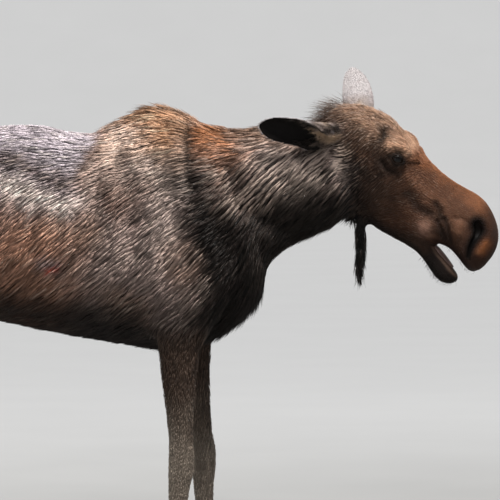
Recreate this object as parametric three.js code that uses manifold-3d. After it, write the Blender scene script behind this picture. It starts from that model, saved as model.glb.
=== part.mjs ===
// A cow moose standing with its head lowered to browse, at life size.
// Millimetres; +X is the way it faces, +Y is its left side, +Z is up and its soles are at Z = 0.
// Every outline is the outer one, at the tips of the coat.

import * as THREE from "three";
import { mergeVertices } from "three/addons/utils/BufferGeometryUtils.js";
import Module from "manifold-3d";

const wasm = await Module();
wasm.setup();

// ---------------------------------------------------------------- driving sizes

const GAP = 0.35; // left between neighbouring pieces
const WELD = 1e-3; // points this close are one
const FAR = 6000; // beyond the animal from any of its points
const LEFT = 1;
const RIGHT = -1;

const HEAD_PITCH = 38; // degrees that the face points below level
const HEAD_YAW = 7; // degrees that the nose turns to the animal's right
const HEAD_ROLL = 7; // degrees that the crown leans to the animal's right
const HEAD_AT = new THREE.Vector3(665, -42, 1765); // centre of the skull's back, between the ears

const EYE_RADIUS = 22;
const EYE_AT = { along: 228, up: 63, out: 93 }; // in the head's frame

const EAR_LENGTH = 262;
const EAR_HALF_WIDTH = 63;
const EAR_WALL = 10;

const LEG_OUT = 152; // from the animal's middle plane to each hoof's middle
const FRONT_CUT = 1092; // height where a front leg parts from the trunk
const HIND_CUT = 1178;

const HOOF_HALF_LENGTH = 66;
const TOE_HALF_WIDTH = 25;
const TOE_SPLAY = 5; // degrees

// ---------------------------------------------------------------- shapes

// A closed surface over rings with equal counts of points, each end closed by a fan.
// Seen against the way the rings follow each other, a ring runs anticlockwise.
function loft(rings) {
  const count = rings[0].length;
  const middle = (ring) => ring.reduce((sum, p) => sum.add(p), new THREE.Vector3()).divideScalar(count);
  const points = [...rings.flat(), middle(rings[0]), middle(rings.at(-1))];
  const [start, end] = [points.length - 2, points.length - 1];
  const lastRing = (rings.length - 1) * count;
  const faces = [];
  for (let j = 0; j < count; j++) {
    const k = (j + 1) % count;
    faces.push(start, k, j, end, lastRing + j, lastRing + k);
    for (let i = 0; i < lastRing; i += count) {
      faces.push(i + j, i + k, i + count + k, i + j, i + count + k, i + count + j);
    }
  }
  return new THREE.BufferGeometry().setFromPoints(points).setIndex(faces);
}

// Stations spread evenly through the given ones, each of their numbers on a smooth curve.
function eased(stations, count) {
  const curves = Object.keys(stations[0]).map((key) => [
    key,
    new THREE.SplineCurve(stations.map((station, i) => new THREE.Vector2(i, station[key]))),
  ]);
  const at = (share) => Object.fromEntries(curves.map(([key, curve]) => [key, curve.getPoint(share).y]));
  return Array.from({ length: count }, (_, i) => at(i / (count - 1)));
}

// A ring between a low and a high point. It is widest at a share of its height, and the part
// above narrows to a crest, the part below to a keel: 1 gives an ellipse, more a sharper edge.
function bodyRing(station, points, grow) {
  const low = new THREE.Vector3(station.lowX, station.y, station.lowZ);
  const high = new THREE.Vector3(station.highX, station.y, station.highZ);
  const up = high.clone().sub(low).normalize();
  const span = high.distanceTo(low) + 2 * grow;
  low.addScaledVector(up, -grow);
  return Array.from({ length: points }, (_, j) => {
    const angle = (2 * Math.PI * j) / points;
    const [across, rise] = [Math.cos(angle), Math.sin(angle)];
    const share = rise > 0 ? station.widest + (1 - station.widest) * rise : station.widest * (1 + rise);
    const sharpness = rise > 0 ? station.crest : station.keel;
    const reach = Math.sign(across) * Math.abs(across) ** sharpness * (station.halfWidth + grow);
    return low.clone().addScaledVector(up, share * span).add(new THREE.Vector3(0, reach, 0));
  });
}

function bodyLoft(stations, { rings, points, grow = 0 }) {
  const sections = eased(stations, rings).map((station) => bodyRing(station, points, grow));
  sections[0].forEach((point) => (point.x -= grow));
  sections.at(-1).forEach((point) => (point.x += grow));
  return loft(sections);
}

// ---------------------------------------------------------------- solids

function solid(geometry) {
  const plain = new THREE.BufferGeometry().setAttribute("position", geometry.getAttribute("position"));
  const merged = mergeVertices(plain.setIndex(geometry.getIndex()), WELD);
  return new wasm.Manifold(
    new wasm.Mesh({
      numProp: 3,
      vertProperties: merged.getAttribute("position").array,
      triVerts: new Uint32Array(merged.getIndex().array),
    }),
  );
}

// The largest of a solid's separate bodies: crumbs of a cut are dropped.
function largest(body) {
  return body.decompose().reduce((a, b) => (b.volume() > a.volume() ? b : a));
}

// All that lies behind a point, seen along a direction.
function halfSpace(point, direction) {
  const box = new THREE.BoxGeometry(FAR, FAR, FAR).translate(0, 0, -FAR / 2);
  const turn = new THREE.Quaternion().setFromUnitVectors(new THREE.Vector3(0, 0, 1), direction);
  return solid(box.applyQuaternion(turn).translate(point.x, point.y, point.z));
}

// The two sides of a solid at a plane, with the gap between them.
function parted(body, point, direction) {
  const shift = direction.clone().multiplyScalar(GAP / 2);
  const behind = halfSpace(point.clone().sub(shift), direction);
  const ahead = halfSpace(point.clone().add(shift), direction.clone().negate());
  return [body.intersect(behind), body.intersect(ahead)];
}

// ---------------------------------------------------------------- trunk and neck

// From the buttocks to the back of the head: a point of the back line, the point of the belly and
// throat line below it, and y, by which the neck bends aside.
const torsoStation = ([highX, highZ], [lowX, lowZ], halfWidth, widest, crest, keel, y) => ({
  highX, highZ, lowX, lowZ, halfWidth, widest, crest, keel, y,
});
const torsoStations = [
  torsoStation([-1240, 1395], [-1236, 1335], 40, 0.5, 1, 1, 0),
  torsoStation([-1218, 1492], [-1204, 1255], 118, 0.5, 1, 1, 0),
  torsoStation([-1120, 1602], [-1088, 1196], 190, 0.52, 1.05, 1, 0),
  torsoStation([-960, 1700], [-930, 1165], 232, 0.55, 1.1, 1, 0),
  torsoStation([-780, 1752], [-745, 1138], 246, 0.5, 1.1, 0.95, 0),
  torsoStation([-590, 1776], [-560, 1096], 266, 0.46, 1.05, 0.9, 0),
  torsoStation([-405, 1790], [-375, 1056], 274, 0.45, 1.1, 0.92, 0),
  torsoStation([-215, 1757], [-190, 1022], 262, 0.46, 1.15, 1, 0),
  torsoStation([-115, 1812], [-60, 1000], 246, 0.45, 1.4, 1.05, 0),
  torsoStation([15, 1866], [85, 986], 232, 0.43, 1.5, 1.1, 0),
  torsoStation([128, 1834], [250, 1040], 222, 0.42, 1.35, 1, 0),
  torsoStation([222, 1787], [376, 1158], 206, 0.43, 1.2, 0.95, -2),
  torsoStation([318, 1775], [414, 1282], 172, 0.48, 1.15, 0.95, -7),
  torsoStation([415, 1790], [480, 1346], 142, 0.48, 1.15, 1, -16),
  torsoStation([510, 1801], [578, 1394], 122, 0.47, 1.2, 1, -28),
  torsoStation([600, 1812], [680, 1440], 106, 0.46, 1.35, 1, -42),
  torsoStation([672, 1806], [742, 1500], 84, 0.46, 1.3, 1, -55),
];
const TORSO_RINGS = 37;
const TORSO_POINTS = 22;
const torso = (grow) => solid(bodyLoft(torsoStations, { rings: TORSO_RINGS, points: TORSO_POINTS, grow }));

// The neck parts from the trunk on a slanted plane, from before the withers to the breast.
const neckTop = new THREE.Vector3(205, 0, 1795);
const neckFoot = new THREE.Vector3(412, 0, 1270);
const neckCutDirection = new THREE.Vector3(neckTop.z - neckFoot.z, 0, neckFoot.x - neckTop.x).normalize();

// ---------------------------------------------------------------- legs

// Down a leg: the middle of each section, its half length fore and aft, and its half width.
const frontLegStations = [
  { x: 130, out: 146, z: 1570, fore: 66, wide: 42 },
  { x: 148, out: 158, z: 1465, fore: 118, wide: 73 },
  { x: 170, out: 165, z: 1350, fore: 146, wide: 83 },
  { x: 174, out: 171, z: 1240, fore: 140, wide: 84 },
  { x: 144, out: 175, z: 1130, fore: 116, wide: 75 },
  { x: 116, out: 174, z: 1030, fore: 88, wide: 62 },
  { x: 114, out: 170, z: 930, fore: 70, wide: 53 },
  { x: 119, out: 165, z: 800, fore: 53, wide: 46 },
  { x: 126, out: 161, z: 690, fore: 45, wide: 42 },
  { x: 131, out: 158, z: 610, fore: 49, wide: 46 },
  { x: 128, out: 157, z: 550, fore: 46, wide: 45 },
  { x: 122, out: 155, z: 470, fore: 36, wide: 35 },
  { x: 121, out: 154, z: 330, fore: 33, wide: 30 },
  { x: 121, out: 153, z: 220, fore: 36, wide: 33 },
  { x: 122, out: 152, z: 160, fore: 45, wide: 42 },
  { x: 136, out: 152, z: 112, fore: 43, wide: 44 },
];
const hindLegStations = [
  { x: -940, out: 112, z: 1570, fore: 70, wide: 40 },
  { x: -968, out: 136, z: 1480, fore: 166, wide: 84 },
  { x: -978, out: 150, z: 1370, fore: 222, wide: 104 },
  { x: -958, out: 158, z: 1250, fore: 220, wide: 102 },
  { x: -930, out: 162, z: 1130, fore: 184, wide: 90 },
  { x: -934, out: 164, z: 1020, fore: 142, wide: 74 },
  { x: -985, out: 163, z: 910, fore: 100, wide: 58 },
  { x: -1044, out: 160, z: 810, fore: 72, wide: 47 },
  { x: -1090, out: 157, z: 720, fore: 59, wide: 41 },
  { x: -1096, out: 155, z: 650, fore: 57, wide: 43 },
  { x: -1082, out: 154, z: 580, fore: 47, wide: 42 },
  { x: -1068, out: 153, z: 480, fore: 38, wide: 35 },
  { x: -1052, out: 152, z: 320, fore: 35, wide: 31 },
  { x: -1042, out: 152, z: 220, fore: 38, wide: 34 },
  { x: -1036, out: 152, z: 160, fore: 46, wide: 43 },
  { x: -1020, out: 152, z: 112, fore: 43, wide: 44 },
];
const LEG_RINGS_PER_STATION = 1.15;
const LEG_POINTS = 12;
const HIP_HEIGHT = 1350; // a leg swings fore or aft below this
const CORONET = { ahead: 18, height: 66, slope: 24, fore: 53, wide: 50 }; // where hair meets hoof

const legs = [
  { name: "front_leg_right", stations: frontLegStations, side: RIGHT, stride: -36, cut: FRONT_CUT },
  { name: "front_leg_left", stations: frontLegStations, side: LEFT, stride: 96, cut: FRONT_CUT },
  { name: "hind_leg_right", stations: hindLegStations, side: RIGHT, stride: 72, cut: HIND_CUT },
  { name: "hind_leg_left", stations: hindLegStations, side: LEFT, stride: -56, cut: HIND_CUT },
];

// The stride moves a leg most at the hoof and not at all at the hip.
const swing = (leg, z) => leg.stride * Math.max(0, 1 - z / HIP_HEIGHT);

const ovalRing = (centre, fore, wide, slope, points) =>
  Array.from({ length: points }, (_, j) => {
    const angle = (2 * Math.PI * j) / points;
    const ahead = fore * Math.sin(angle);
    const lift = -ahead * Math.tan(THREE.MathUtils.degToRad(slope));
    return new THREE.Vector3(centre.x + ahead, centre.y + wide * Math.cos(angle), centre.z + lift);
  });

function legSolid(leg) {
  const stations = eased(leg.stations, Math.round(leg.stations.length * LEG_RINGS_PER_STATION));
  const rings = stations.map(({ x, out, z, fore, wide }) =>
    ovalRing(new THREE.Vector3(x + swing(leg, z), leg.side * out, z), fore, wide, 0, LEG_POINTS),
  );
  const foot = hoofMiddle(leg);
  foot.setZ(CORONET.height + GAP);
  rings.push(ovalRing(foot, CORONET.fore, CORONET.wide, CORONET.slope, LEG_POINTS));
  return solid(loft(rings));
}

function hoofMiddle(leg) {
  const last = leg.stations.at(-1);
  return new THREE.Vector3(last.x + swing(leg, 0) + CORONET.ahead, leg.side * LEG_OUT, 0);
}

// ---------------------------------------------------------------- hooves

const TOE_POINTS = 14;
const TOE_CLEFT = 5; // half of the cleft between the two toes
const TOE_POINTING = 0.32; // how much a toe narrows ahead of its middle and widens behind it
const TOE_TOP_INSET = 2; // a toe is this much narrower at the hair line
const SOLE_AHEAD = 14; // the sole lies this far ahead of the hair line
const WALL_BULGE = 0.45; // height share at which the hoof wall is measured between sole and coronet

// A toe's outline from above: round at the heel and drawn to a point ahead.
function toeRing(middle, halfLength, halfWidth, splay, heightAt) {
  const turn = THREE.MathUtils.degToRad(splay);
  return Array.from({ length: TOE_POINTS }, (_, j) => {
    const angle = (2 * Math.PI * j) / TOE_POINTS;
    const ahead = halfLength * Math.sin(angle);
    const aside = halfWidth * Math.cos(angle) * (1 - TOE_POINTING * Math.sin(angle));
    const x = middle.x + ahead * Math.cos(turn) - aside * Math.sin(turn);
    const y = middle.y + ahead * Math.sin(turn) + aside * Math.cos(turn);
    return new THREE.Vector3(x, y, heightAt(x));
  });
}

function toeSolid(leg, side) {
  const slope = Math.tan(THREE.MathUtils.degToRad(CORONET.slope));
  const foot = hoofMiddle(leg);
  const across = TOE_CLEFT + TOE_HALF_WIDTH;
  const top = foot.clone().add(new THREE.Vector3(0, side * (across - TOE_TOP_INSET), 0));
  const sole = foot.clone().add(new THREE.Vector3(SOLE_AHEAD, side * across, 0));
  const wall = top.clone().lerp(sole, 1 - WALL_BULGE);
  const splay = side * TOE_SPLAY;
  const topHalf = CORONET.fore;
  const wallHalf = THREE.MathUtils.lerp(HOOF_HALF_LENGTH, topHalf, WALL_BULGE);
  const hairLine = (x) => CORONET.height - (x - foot.x) * slope;
  return solid(
    loft([
      toeRing(top, topHalf, TOE_HALF_WIDTH - TOE_TOP_INSET, splay, hairLine),
      toeRing(wall, wallHalf, TOE_HALF_WIDTH, splay, (x) => hairLine(x) * WALL_BULGE),
      toeRing(sole, HOOF_HALF_LENGTH, TOE_HALF_WIDTH, splay, () => 0),
    ]),
  );
}

const DEWCLAW = { radius: 13, length: 44, height: 112, behind: 44, aside: 22, lean: 35, points: 10 };

function dewclawSolid(leg, side, grow) {
  const cone = new THREE.ConeGeometry(DEWCLAW.radius + grow, DEWCLAW.length + 2 * grow, DEWCLAW.points);
  const foot = hoofMiddle(leg);
  return solid(
    cone
      .rotateX(-Math.PI / 2)
      .rotateY(THREE.MathUtils.degToRad(DEWCLAW.lean))
      .translate(foot.x - CORONET.ahead - DEWCLAW.behind, foot.y + side * DEWCLAW.aside, DEWCLAW.height),
  );
}

// ---------------------------------------------------------------- head

// Along the face from behind the ears to the nose. The low line is the cheek, then the upper lip.
const headStation = (along, high, low, halfWidth, widest, crest, keel) => ({
  highX: along, lowX: along, highZ: high, lowZ: low, halfWidth, widest, crest, keel, y: 0,
});
const skullStations = [
  headStation(-72, 26, -80, 44, 0.6, 1, 1),
  headStation(-45, 72, -132, 76, 0.62, 0.95, 1),
  headStation(0, 112, -162, 92, 0.62, 0.9, 1.05),
  headStation(60, 137, -178, 99, 0.64, 0.82, 1.1),
  headStation(125, 146, -187, 105, 0.66, 0.74, 1.12),
  headStation(185, 135, -192, 116, 0.7, 0.72, 1.15),
  headStation(240, 123, -197, 110, 0.7, 0.8, 1.12),
  headStation(300, 115, -198, 91, 0.64, 0.9, 1.08),
  headStation(365, 108, -188, 78, 0.58, 0.95, 1.05),
  headStation(430, 109, -166, 70, 0.56, 0.95, 1),
  headStation(485, 118, -122, 69, 0.52, 0.95, 0.95),
  headStation(540, 124, -92, 76, 0.5, 0.92, 0.85),
  headStation(590, 110, -92, 84, 0.48, 0.88, 0.78),
  headStation(632, 86, -103, 84, 0.48, 0.85, 0.78),
  headStation(664, 58, -110, 74, 0.5, 0.85, 0.85),
  headStation(684, 26, -96, 55, 0.52, 0.9, 0.95),
  headStation(694, -8, -62, 26, 0.5, 1, 1),
];
const jawStations = [
  headStation(330, -80, -190, 46, 0.5, 1, 1),
  headStation(390, -86, -184, 46, 0.5, 0.9, 1),
  headStation(450, -98, -172, 42, 0.55, 0.8, 0.95),
  headStation(500, -110, -176, 38, 0.6, 0.75, 0.9),
  headStation(545, -121, -190, 37, 0.6, 0.75, 0.85),
  headStation(585, -130, -203, 39, 0.55, 0.75, 0.85),
  headStation(620, -138, -200, 38, 0.5, 0.8, 0.9),
  headStation(642, -146, -182, 26, 0.5, 0.9, 0.95),
  headStation(650, -154, -172, 12, 0.5, 1, 1),
];
const tongueStations = [
  headStation(470, -110, -135, 24, 0.5, 0.9, 0.9),
  headStation(520, -108, -140, 25, 0.5, 0.9, 0.9),
  headStation(575, -120, -150, 24, 0.5, 0.9, 0.9),
  headStation(612, -132, -154, 18, 0.5, 1, 1),
];
const SKULL_MESH = { rings: 25, points: 22 };
const JAW_MESH = { rings: 11, points: 16 };
const TONGUE_MESH = { rings: 6, points: 12 };
const BALL_MESH = [12, 8]; // of the eyes and brows: points around and from pole to pole
const NOSTRIL_MESH = [10, 6];

// Half sizes run along the face, across it and up from it; the slant is in degrees.
const NOSTRIL = { along: 600, up: 38, out: 80, size: [31, 24, 19], slant: 24 };
const BROW = { along: 196, up: 91, out: 68, size: [62, 42, 40] };

// From the head's own frame to the animal's.
const headPlace = new THREE.Matrix4().compose(
  HEAD_AT,
  new THREE.Quaternion().setFromEuler(
    new THREE.Euler(
      THREE.MathUtils.degToRad(HEAD_ROLL),
      THREE.MathUtils.degToRad(HEAD_PITCH),
      -THREE.MathUtils.degToRad(HEAD_YAW),
      "ZYX",
    ),
  ),
  new THREE.Vector3(1, 1, 1),
);
const inHead = (geometry) => solid(geometry.applyMatrix4(headPlace));
const skullLoft = (grow) => inHead(bodyLoft(skullStations, { ...SKULL_MESH, grow }));
const jawLoft = (grow) => inHead(bodyLoft(jawStations, { ...JAW_MESH, grow }));
const tongueLoft = () => inHead(bodyLoft(tongueStations, TONGUE_MESH));

function brow(side, grow) {
  const [length, width, height] = BROW.size.map((size) => size + grow);
  const ball = new THREE.SphereGeometry(1, ...BALL_MESH).scale(length, width, height);
  return inHead(ball.translate(BROW.along, side * BROW.out, BROW.up));
}

function nostril(side) {
  const hollow = new THREE.SphereGeometry(1, ...NOSTRIL_MESH).scale(...NOSTRIL.size);
  hollow.rotateY(-THREE.MathUtils.degToRad(NOSTRIL.slant));
  return inHead(hollow.translate(NOSTRIL.along, side * NOSTRIL.out, NOSTRIL.up));
}

function skull(grow) {
  return skullLoft(grow).add(brow(LEFT, grow)).add(brow(RIGHT, grow));
}

function eyeball(side, grow) {
  const ball = new THREE.SphereGeometry(EYE_RADIUS + grow, ...BALL_MESH);
  return inHead(ball.translate(EYE_AT.along, side * EYE_AT.out, EYE_AT.up));
}

// ---------------------------------------------------------------- ears

const EAR_RINGS = 12;
const EAR_ARC_POINTS = 7;
const EAR_SUNK = -0.2; // share of its length by which the root is sunk in the skull
const EAR_END = 0.995; // just short of the tip, where the leaf would have no width
const EAR_CROWDING = 1.2; // above 1, rings draw closer towards the tip
const EAR_OPENING = [172, 50]; // degrees from the leaf's middle to its rim: rolled shut, then a cup
const EAR_INNER_ARC = 0.97; // the inner face stops just short of the rim
const EAR_PLUG = 0.9; // share of the tube's radius that is filled at its root
const EAR_WALL_THINNING = 0.35;

// An ear is a leaf rolled about its length: solid at its root, then a tube that opens into a cup.
// `tip` is the way it points, the mouths the way the cup faces, and `bow` bends its middle aside.
const ears = [
  {
    name: "ear_right",
    root: { along: -12, up: -6, out: RIGHT * 90 },
    tip: new THREE.Vector3(-0.94, -0.3, 0.06).normalize(),
    mouthAtRoot: new THREE.Vector3(-0.1, -0.72, -0.7),
    mouthAtTip: new THREE.Vector3(-0.1, -0.95, -0.26),
    bow: new THREE.Vector3(0, -14, -8),
  },
  {
    name: "ear_left",
    root: { along: 14, up: 44, out: LEFT * 76 },
    tip: new THREE.Vector3(0, 0.77, 0.63).normalize(),
    mouthAtRoot: new THREE.Vector3(0.3, 0.6, -0.7),
    mouthAtTip: new THREE.Vector3(0.1, 0.65, -0.76),
    bow: new THREE.Vector3(14, 0, 0),
  },
];

// How wide the leaf is along its length: half as wide at the root as at the middle, where it is
// fullest, then drawn in a little, and round at the tip.
const LEAF = { swellFrom: -0.15, swellTo: 0.42, drawnIn: 0.24, bluntness: 7 };

function leafWidth(share) {
  const swell = (1 + THREE.MathUtils.smoothstep(share, LEAF.swellFrom, LEAF.swellTo)) / 2;
  const tip = (1 - LEAF.drawnIn * share * share) * Math.sqrt(1 - share ** LEAF.bluntness);
  return EAR_HALF_WIDTH * swell * tip;
}

function earRing(share, root, { tip, mouthAtRoot, mouthAtTip, bow }) {
  const mouth = mouthAtRoot.clone().lerp(mouthAtTip, share);
  mouth.addScaledVector(tip, -mouth.dot(tip)).normalize();
  const edge = new THREE.Vector3().crossVectors(mouth, tip);
  const width = leafWidth(share);
  const unrolled = THREE.MathUtils.smoothstep(share, -0.1, 0.6);
  const opening = THREE.MathUtils.degToRad(THREE.MathUtils.lerp(...EAR_OPENING, unrolled));
  const radius = opening < Math.PI / 2 ? width / Math.sin(opening) : width;
  const plug = 1 - THREE.MathUtils.smoothstep(share, 0, 0.25);
  const wall = THREE.MathUtils.lerp(EAR_WALL * (1 - EAR_WALL_THINNING * share), EAR_PLUG * radius, plug);
  const centre = root.clone().addScaledVector(tip, share * EAR_LENGTH);
  centre.addScaledVector(bow, Math.sin(Math.PI * share)).addScaledVector(mouth, radius - EAR_HALF_WIDTH / 2);
  const arc = (r, from, to) =>
    Array.from({ length: EAR_ARC_POINTS }, (_, j) => {
      const angle = THREE.MathUtils.lerp(from, to, j / (EAR_ARC_POINTS - 1));
      const back = centre.clone().addScaledVector(mouth, -r * Math.cos(angle));
      return back.addScaledVector(edge, r * Math.sin(angle));
    });
  const inner = opening * EAR_INNER_ARC;
  return [...arc(radius, -opening, opening), ...arc(Math.max(2, radius - wall), inner, -inner)];
}

function earSolid(ear) {
  const root = new THREE.Vector3(ear.root.along, ear.root.out, ear.root.up).applyMatrix4(headPlace);
  const shares = Array.from({ length: EAR_RINGS }, (_, i) => 1 - (1 - i / (EAR_RINGS - 1)) ** EAR_CROWDING);
  const sunk = shares.map((share) => THREE.MathUtils.lerp(EAR_SUNK, EAR_END, share));
  return solid(loft(sunk.map((share) => earRing(share, root, ear))));
}

// ---------------------------------------------------------------- tail and bell

const STRAND_POINTS = 10;

// Level ovals down a path, `flatness` times as wide across the animal as along it.
function strand(path, radii, flatness) {
  const curve = new THREE.CatmullRomCurve3(path);
  const centre = (i) => curve.getPoint(i / (radii.length - 1));
  return loft(radii.map((radius, i) => ovalRing(centre(i), radius, radius * flatness, 0, STRAND_POINTS)));
}

// A short blunt tail that hangs against the buttocks.
const tailPath = [
  new THREE.Vector3(-1180, 0, 1520),
  new THREE.Vector3(-1236, 0, 1478),
  new THREE.Vector3(-1256, 0, 1420),
  new THREE.Vector3(-1258, 0, 1372),
];
const tailRadii = [26, 30, 31, 30, 26, 18, 7];
const tail = () => solid(strand(tailPath, tailRadii, 1.15));

// The bell is a narrow flap of skin and hair under the throat.
const bellPath = [
  new THREE.Vector3(742, -52, 1490),
  new THREE.Vector3(740, -53, 1420),
  new THREE.Vector3(736, -54, 1330),
  new THREE.Vector3(731, -55, 1246),
];
const bellRadii = [36, 31, 24, 21, 20, 20, 17, 8];
const bell = () => solid(strand(bellPath, bellRadii, 0.7));

// ---------------------------------------------------------------- the animal

const finish = (color, roughness) => new THREE.MeshStandardMaterial({ color, roughness, metalness: 0 });
const coatBrown = finish(0x6b4f3a, 0.9);
const neckBrown = finish(0x5a4535, 0.9);
const faceBrown = finish(0x77492f, 0.85);
const legGrey = finish(0x6d6258, 0.9);
const earGrey = finish(0x8f8680, 0.9);
const bellBlack = finish(0x1c1613, 0.9);
const hornBlack = finish(0x1d1a18, 0.45);
const eyeBlack = finish(0x0e0a08, 0.08);
const tongueGrey = finish(0x6b4a49, 0.5);

const moose = new THREE.Group();

function place(name, body, material) {
  const { vertProperties, triVerts } = largest(body).getMesh();
  const geometry = new THREE.BufferGeometry();
  geometry.setAttribute("position", new THREE.BufferAttribute(new Float32Array(vertProperties), 3));
  geometry.setIndex(new THREE.BufferAttribute(new Uint32Array(triVerts), 1));
  geometry.computeVertexNormals();
  const mesh = new THREE.Mesh(geometry, material);
  mesh.name = name;
  moose.add(mesh);
}

const grownTorso = torso(GAP);
const grownSkull = skull(GAP);
const grownJaw = jawLoft(GAP);
let [trunk, neck] = parted(torso(0), neckTop, neckCutDirection);

for (const leg of legs) {
  const level = new THREE.Vector3(0, 0, leg.cut);
  let [lower, upper] = parted(legSolid(leg), level, new THREE.Vector3(0, 0, 1));
  trunk = trunk.add(upper);
  lower = lower.subtract(grownTorso);
  for (const [toe, side] of [["outer", leg.side], ["inner", -leg.side]]) {
    place(`${leg.name}_${toe}_hoof`, toeSolid(leg, side), hornBlack);
    place(`${leg.name}_${toe}_dewclaw`, dewclawSolid(leg, side, 0), hornBlack);
    lower = lower.subtract(dewclawSolid(leg, side, GAP));
  }
  place(leg.name, lower, legGrey);
}

const earBodies = ears.map((ear) => earSolid(ear).subtract(grownSkull).subtract(grownTorso));
place("trunk", trunk, coatBrown);
place("neck", neck.subtract(grownSkull).subtract(grownJaw), neckBrown);
place("tail", tail().subtract(grownTorso), coatBrown);
place("bell", bell().subtract(grownTorso).subtract(grownSkull).subtract(grownJaw), bellBlack);
let face = skull(0);
for (const side of [LEFT, RIGHT]) {
  face = face.subtract(eyeball(side, GAP)).subtract(nostril(side));
}
place("head", face, faceBrown);
place("lower_jaw", jawLoft(0).subtract(grownSkull), faceBrown);
place("tongue", tongueLoft().subtract(grownSkull).subtract(grownJaw), tongueGrey);
place("eye_left", eyeball(LEFT, 0), eyeBlack);
place("eye_right", eyeball(RIGHT, 0), eyeBlack);
ears.forEach((ear, i) => place(ear.name, earBodies[i], earGrey));

// The origin goes on the floor under the middle of the animal's box.
const box = new THREE.Box3().setFromObject(moose);
const middle = box.getCenter(new THREE.Vector3());
moose.position.set(-middle.x, -middle.y, -box.min.z);

export default moose;
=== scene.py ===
from collections import namedtuple

import bmesh
import bpy
import numpy as np
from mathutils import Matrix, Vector
from mathutils.bvhtree import BVHTree
from mathutils.kdtree import KDTree


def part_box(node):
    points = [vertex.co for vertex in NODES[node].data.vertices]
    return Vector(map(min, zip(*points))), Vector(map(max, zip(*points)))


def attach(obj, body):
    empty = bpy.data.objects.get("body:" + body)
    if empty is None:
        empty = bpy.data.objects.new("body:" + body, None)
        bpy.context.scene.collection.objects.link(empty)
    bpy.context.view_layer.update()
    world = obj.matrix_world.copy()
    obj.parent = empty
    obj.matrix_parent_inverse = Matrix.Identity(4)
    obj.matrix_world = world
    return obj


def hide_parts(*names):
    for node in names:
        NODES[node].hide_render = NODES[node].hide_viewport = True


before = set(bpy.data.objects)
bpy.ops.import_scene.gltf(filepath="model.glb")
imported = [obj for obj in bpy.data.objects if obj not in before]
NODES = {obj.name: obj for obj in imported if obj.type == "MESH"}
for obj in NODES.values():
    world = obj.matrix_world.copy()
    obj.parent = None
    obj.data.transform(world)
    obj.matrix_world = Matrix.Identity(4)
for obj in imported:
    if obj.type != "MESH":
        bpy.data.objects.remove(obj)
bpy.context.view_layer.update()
random = np.random.default_rng(20)

# Metres, +X the way the moose faces, +Y its left, +Z up. Head-frame numbers are millimetres.

LEGS = ["front_leg_left", "front_leg_right", "hind_leg_left", "hind_leg_right"]
EARS = ["ear_left", "ear_right"]
FLESH = ["trunk", "neck", "head", "lower_jaw", "bell", "tail", *EARS, *LEGS]
HOOVES = [f"{leg}_{toe}_{part}" for leg in LEGS for toe in ("outer", "inner") for part in ("hoof", "dewclaw")]

VOXEL = 0.0045
CLOSE_GAPS = 0.0030  # each solid grows by this so that neighbours merge
EAR_GROWTH = 0.0018
WEB = 0.018  # the big solids grow by this to close the creases between them
WEB_VOXEL = 0.008
ROUNDS, MOST_ROUNDS = 14, 200  # of smoothing: where no more is asked, and the most anywhere


# ------------------------------------------------------------------ small tools


def smoothstep(value, low, high):
    share = np.clip((value - low) / (high - low), 0, 1)
    return share * share * (3 - 2 * share)


def fade(value, low, high):
    """1 below `low`, 0 above `high`."""
    return 1 - smoothstep(value, low, high)


def band(value, low, high, edge):
    """1 between `low` and `high`, with soft edges."""
    return smoothstep(value, low - edge, low + edge) * fade(value, high - edge, high + edge)


def towards(value, target, share):
    return value + (target - value) * share


def mix(values, others, share):
    """Colours or directions moved towards others, by a share for each point."""
    return towards(values, others, np.clip(share, 0, 1)[:, None])


def peak(value, middle, width):
    return np.exp(-(((value - middle) / width) ** 2))


def unit(vectors):
    return vectors / np.maximum(np.linalg.norm(vectors, axis=-1, keepdims=True), 1e-9)


def linear(red, green, blue):
    """A colour as seen on a screen, 0 to 255, as scene-linear values."""
    seen = np.array([red, green, blue]) / 255
    return np.where(seen <= 0.04045, seen / 12.92, ((seen + 0.055) / 1.055) ** 2.4)


def ripple(points, size, seed, waves=7):
    """A smooth random field about -1 to 1, whose features are about `size` metres across."""
    own = np.random.default_rng(seed)
    total = np.zeros(len(points))
    for _ in range(waves):
        direction = unit(own.normal(size=3)) * (2 * np.pi / size) * own.uniform(0.6, 1.5)
        total += np.sin(points @ direction + own.uniform(0, 2 * np.pi))
    return total / np.sqrt(waves) / 1.2


def mesh_points(mesh):
    points = np.empty(len(mesh.vertices) * 3)
    mesh.vertices.foreach_get("co", points)
    return points.reshape(-1, 3)


def set_points(mesh, points):
    mesh.vertices.foreach_set("co", points.astype(np.float32).ravel())
    mesh.update()


def mesh_triangles(mesh):
    mesh.calc_loop_triangles()
    corners = np.empty(len(mesh.loop_triangles) * 3, np.int32)
    mesh.loop_triangles.foreach_get("vertices", corners)
    return corners.reshape(-1, 3)


def mesh_edges(mesh):
    ends = np.empty(len(mesh.edges) * 2, np.int32)
    mesh.edges.foreach_get("vertices", ends)
    return ends.reshape(-1, 2)


def vertex_normals(points, triangles):
    a, b, c = (points[triangles[:, i]] for i in range(3))
    face = np.cross(b - a, c - a)
    corners = triangles.ravel()
    spread = np.repeat(face, 3, axis=0)
    total = np.stack([np.bincount(corners, spread[:, i], len(points)) for i in range(3)], axis=1)
    return unit(total)


class Neighbours:
    """Averages over the points that share an edge."""

    def __init__(self, edges, count):
        self.ends = np.concatenate([edges[:, 0], edges[:, 1]])
        self.others = np.concatenate([edges[:, 1], edges[:, 0]])
        self.count = count
        self.degree = np.maximum(np.bincount(self.ends, minlength=count), 1)

    def average(self, values):
        if values.ndim == 1:
            return np.bincount(self.ends, values[self.others], self.count) / self.degree
        return np.stack([self.average(values[:, i]) for i in range(values.shape[1])], axis=1)

    def smooth(self, values, rounds, strength=0.5):
        for _ in range(rounds):
            values = values + strength * (self.average(values) - values)
        return values


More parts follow.
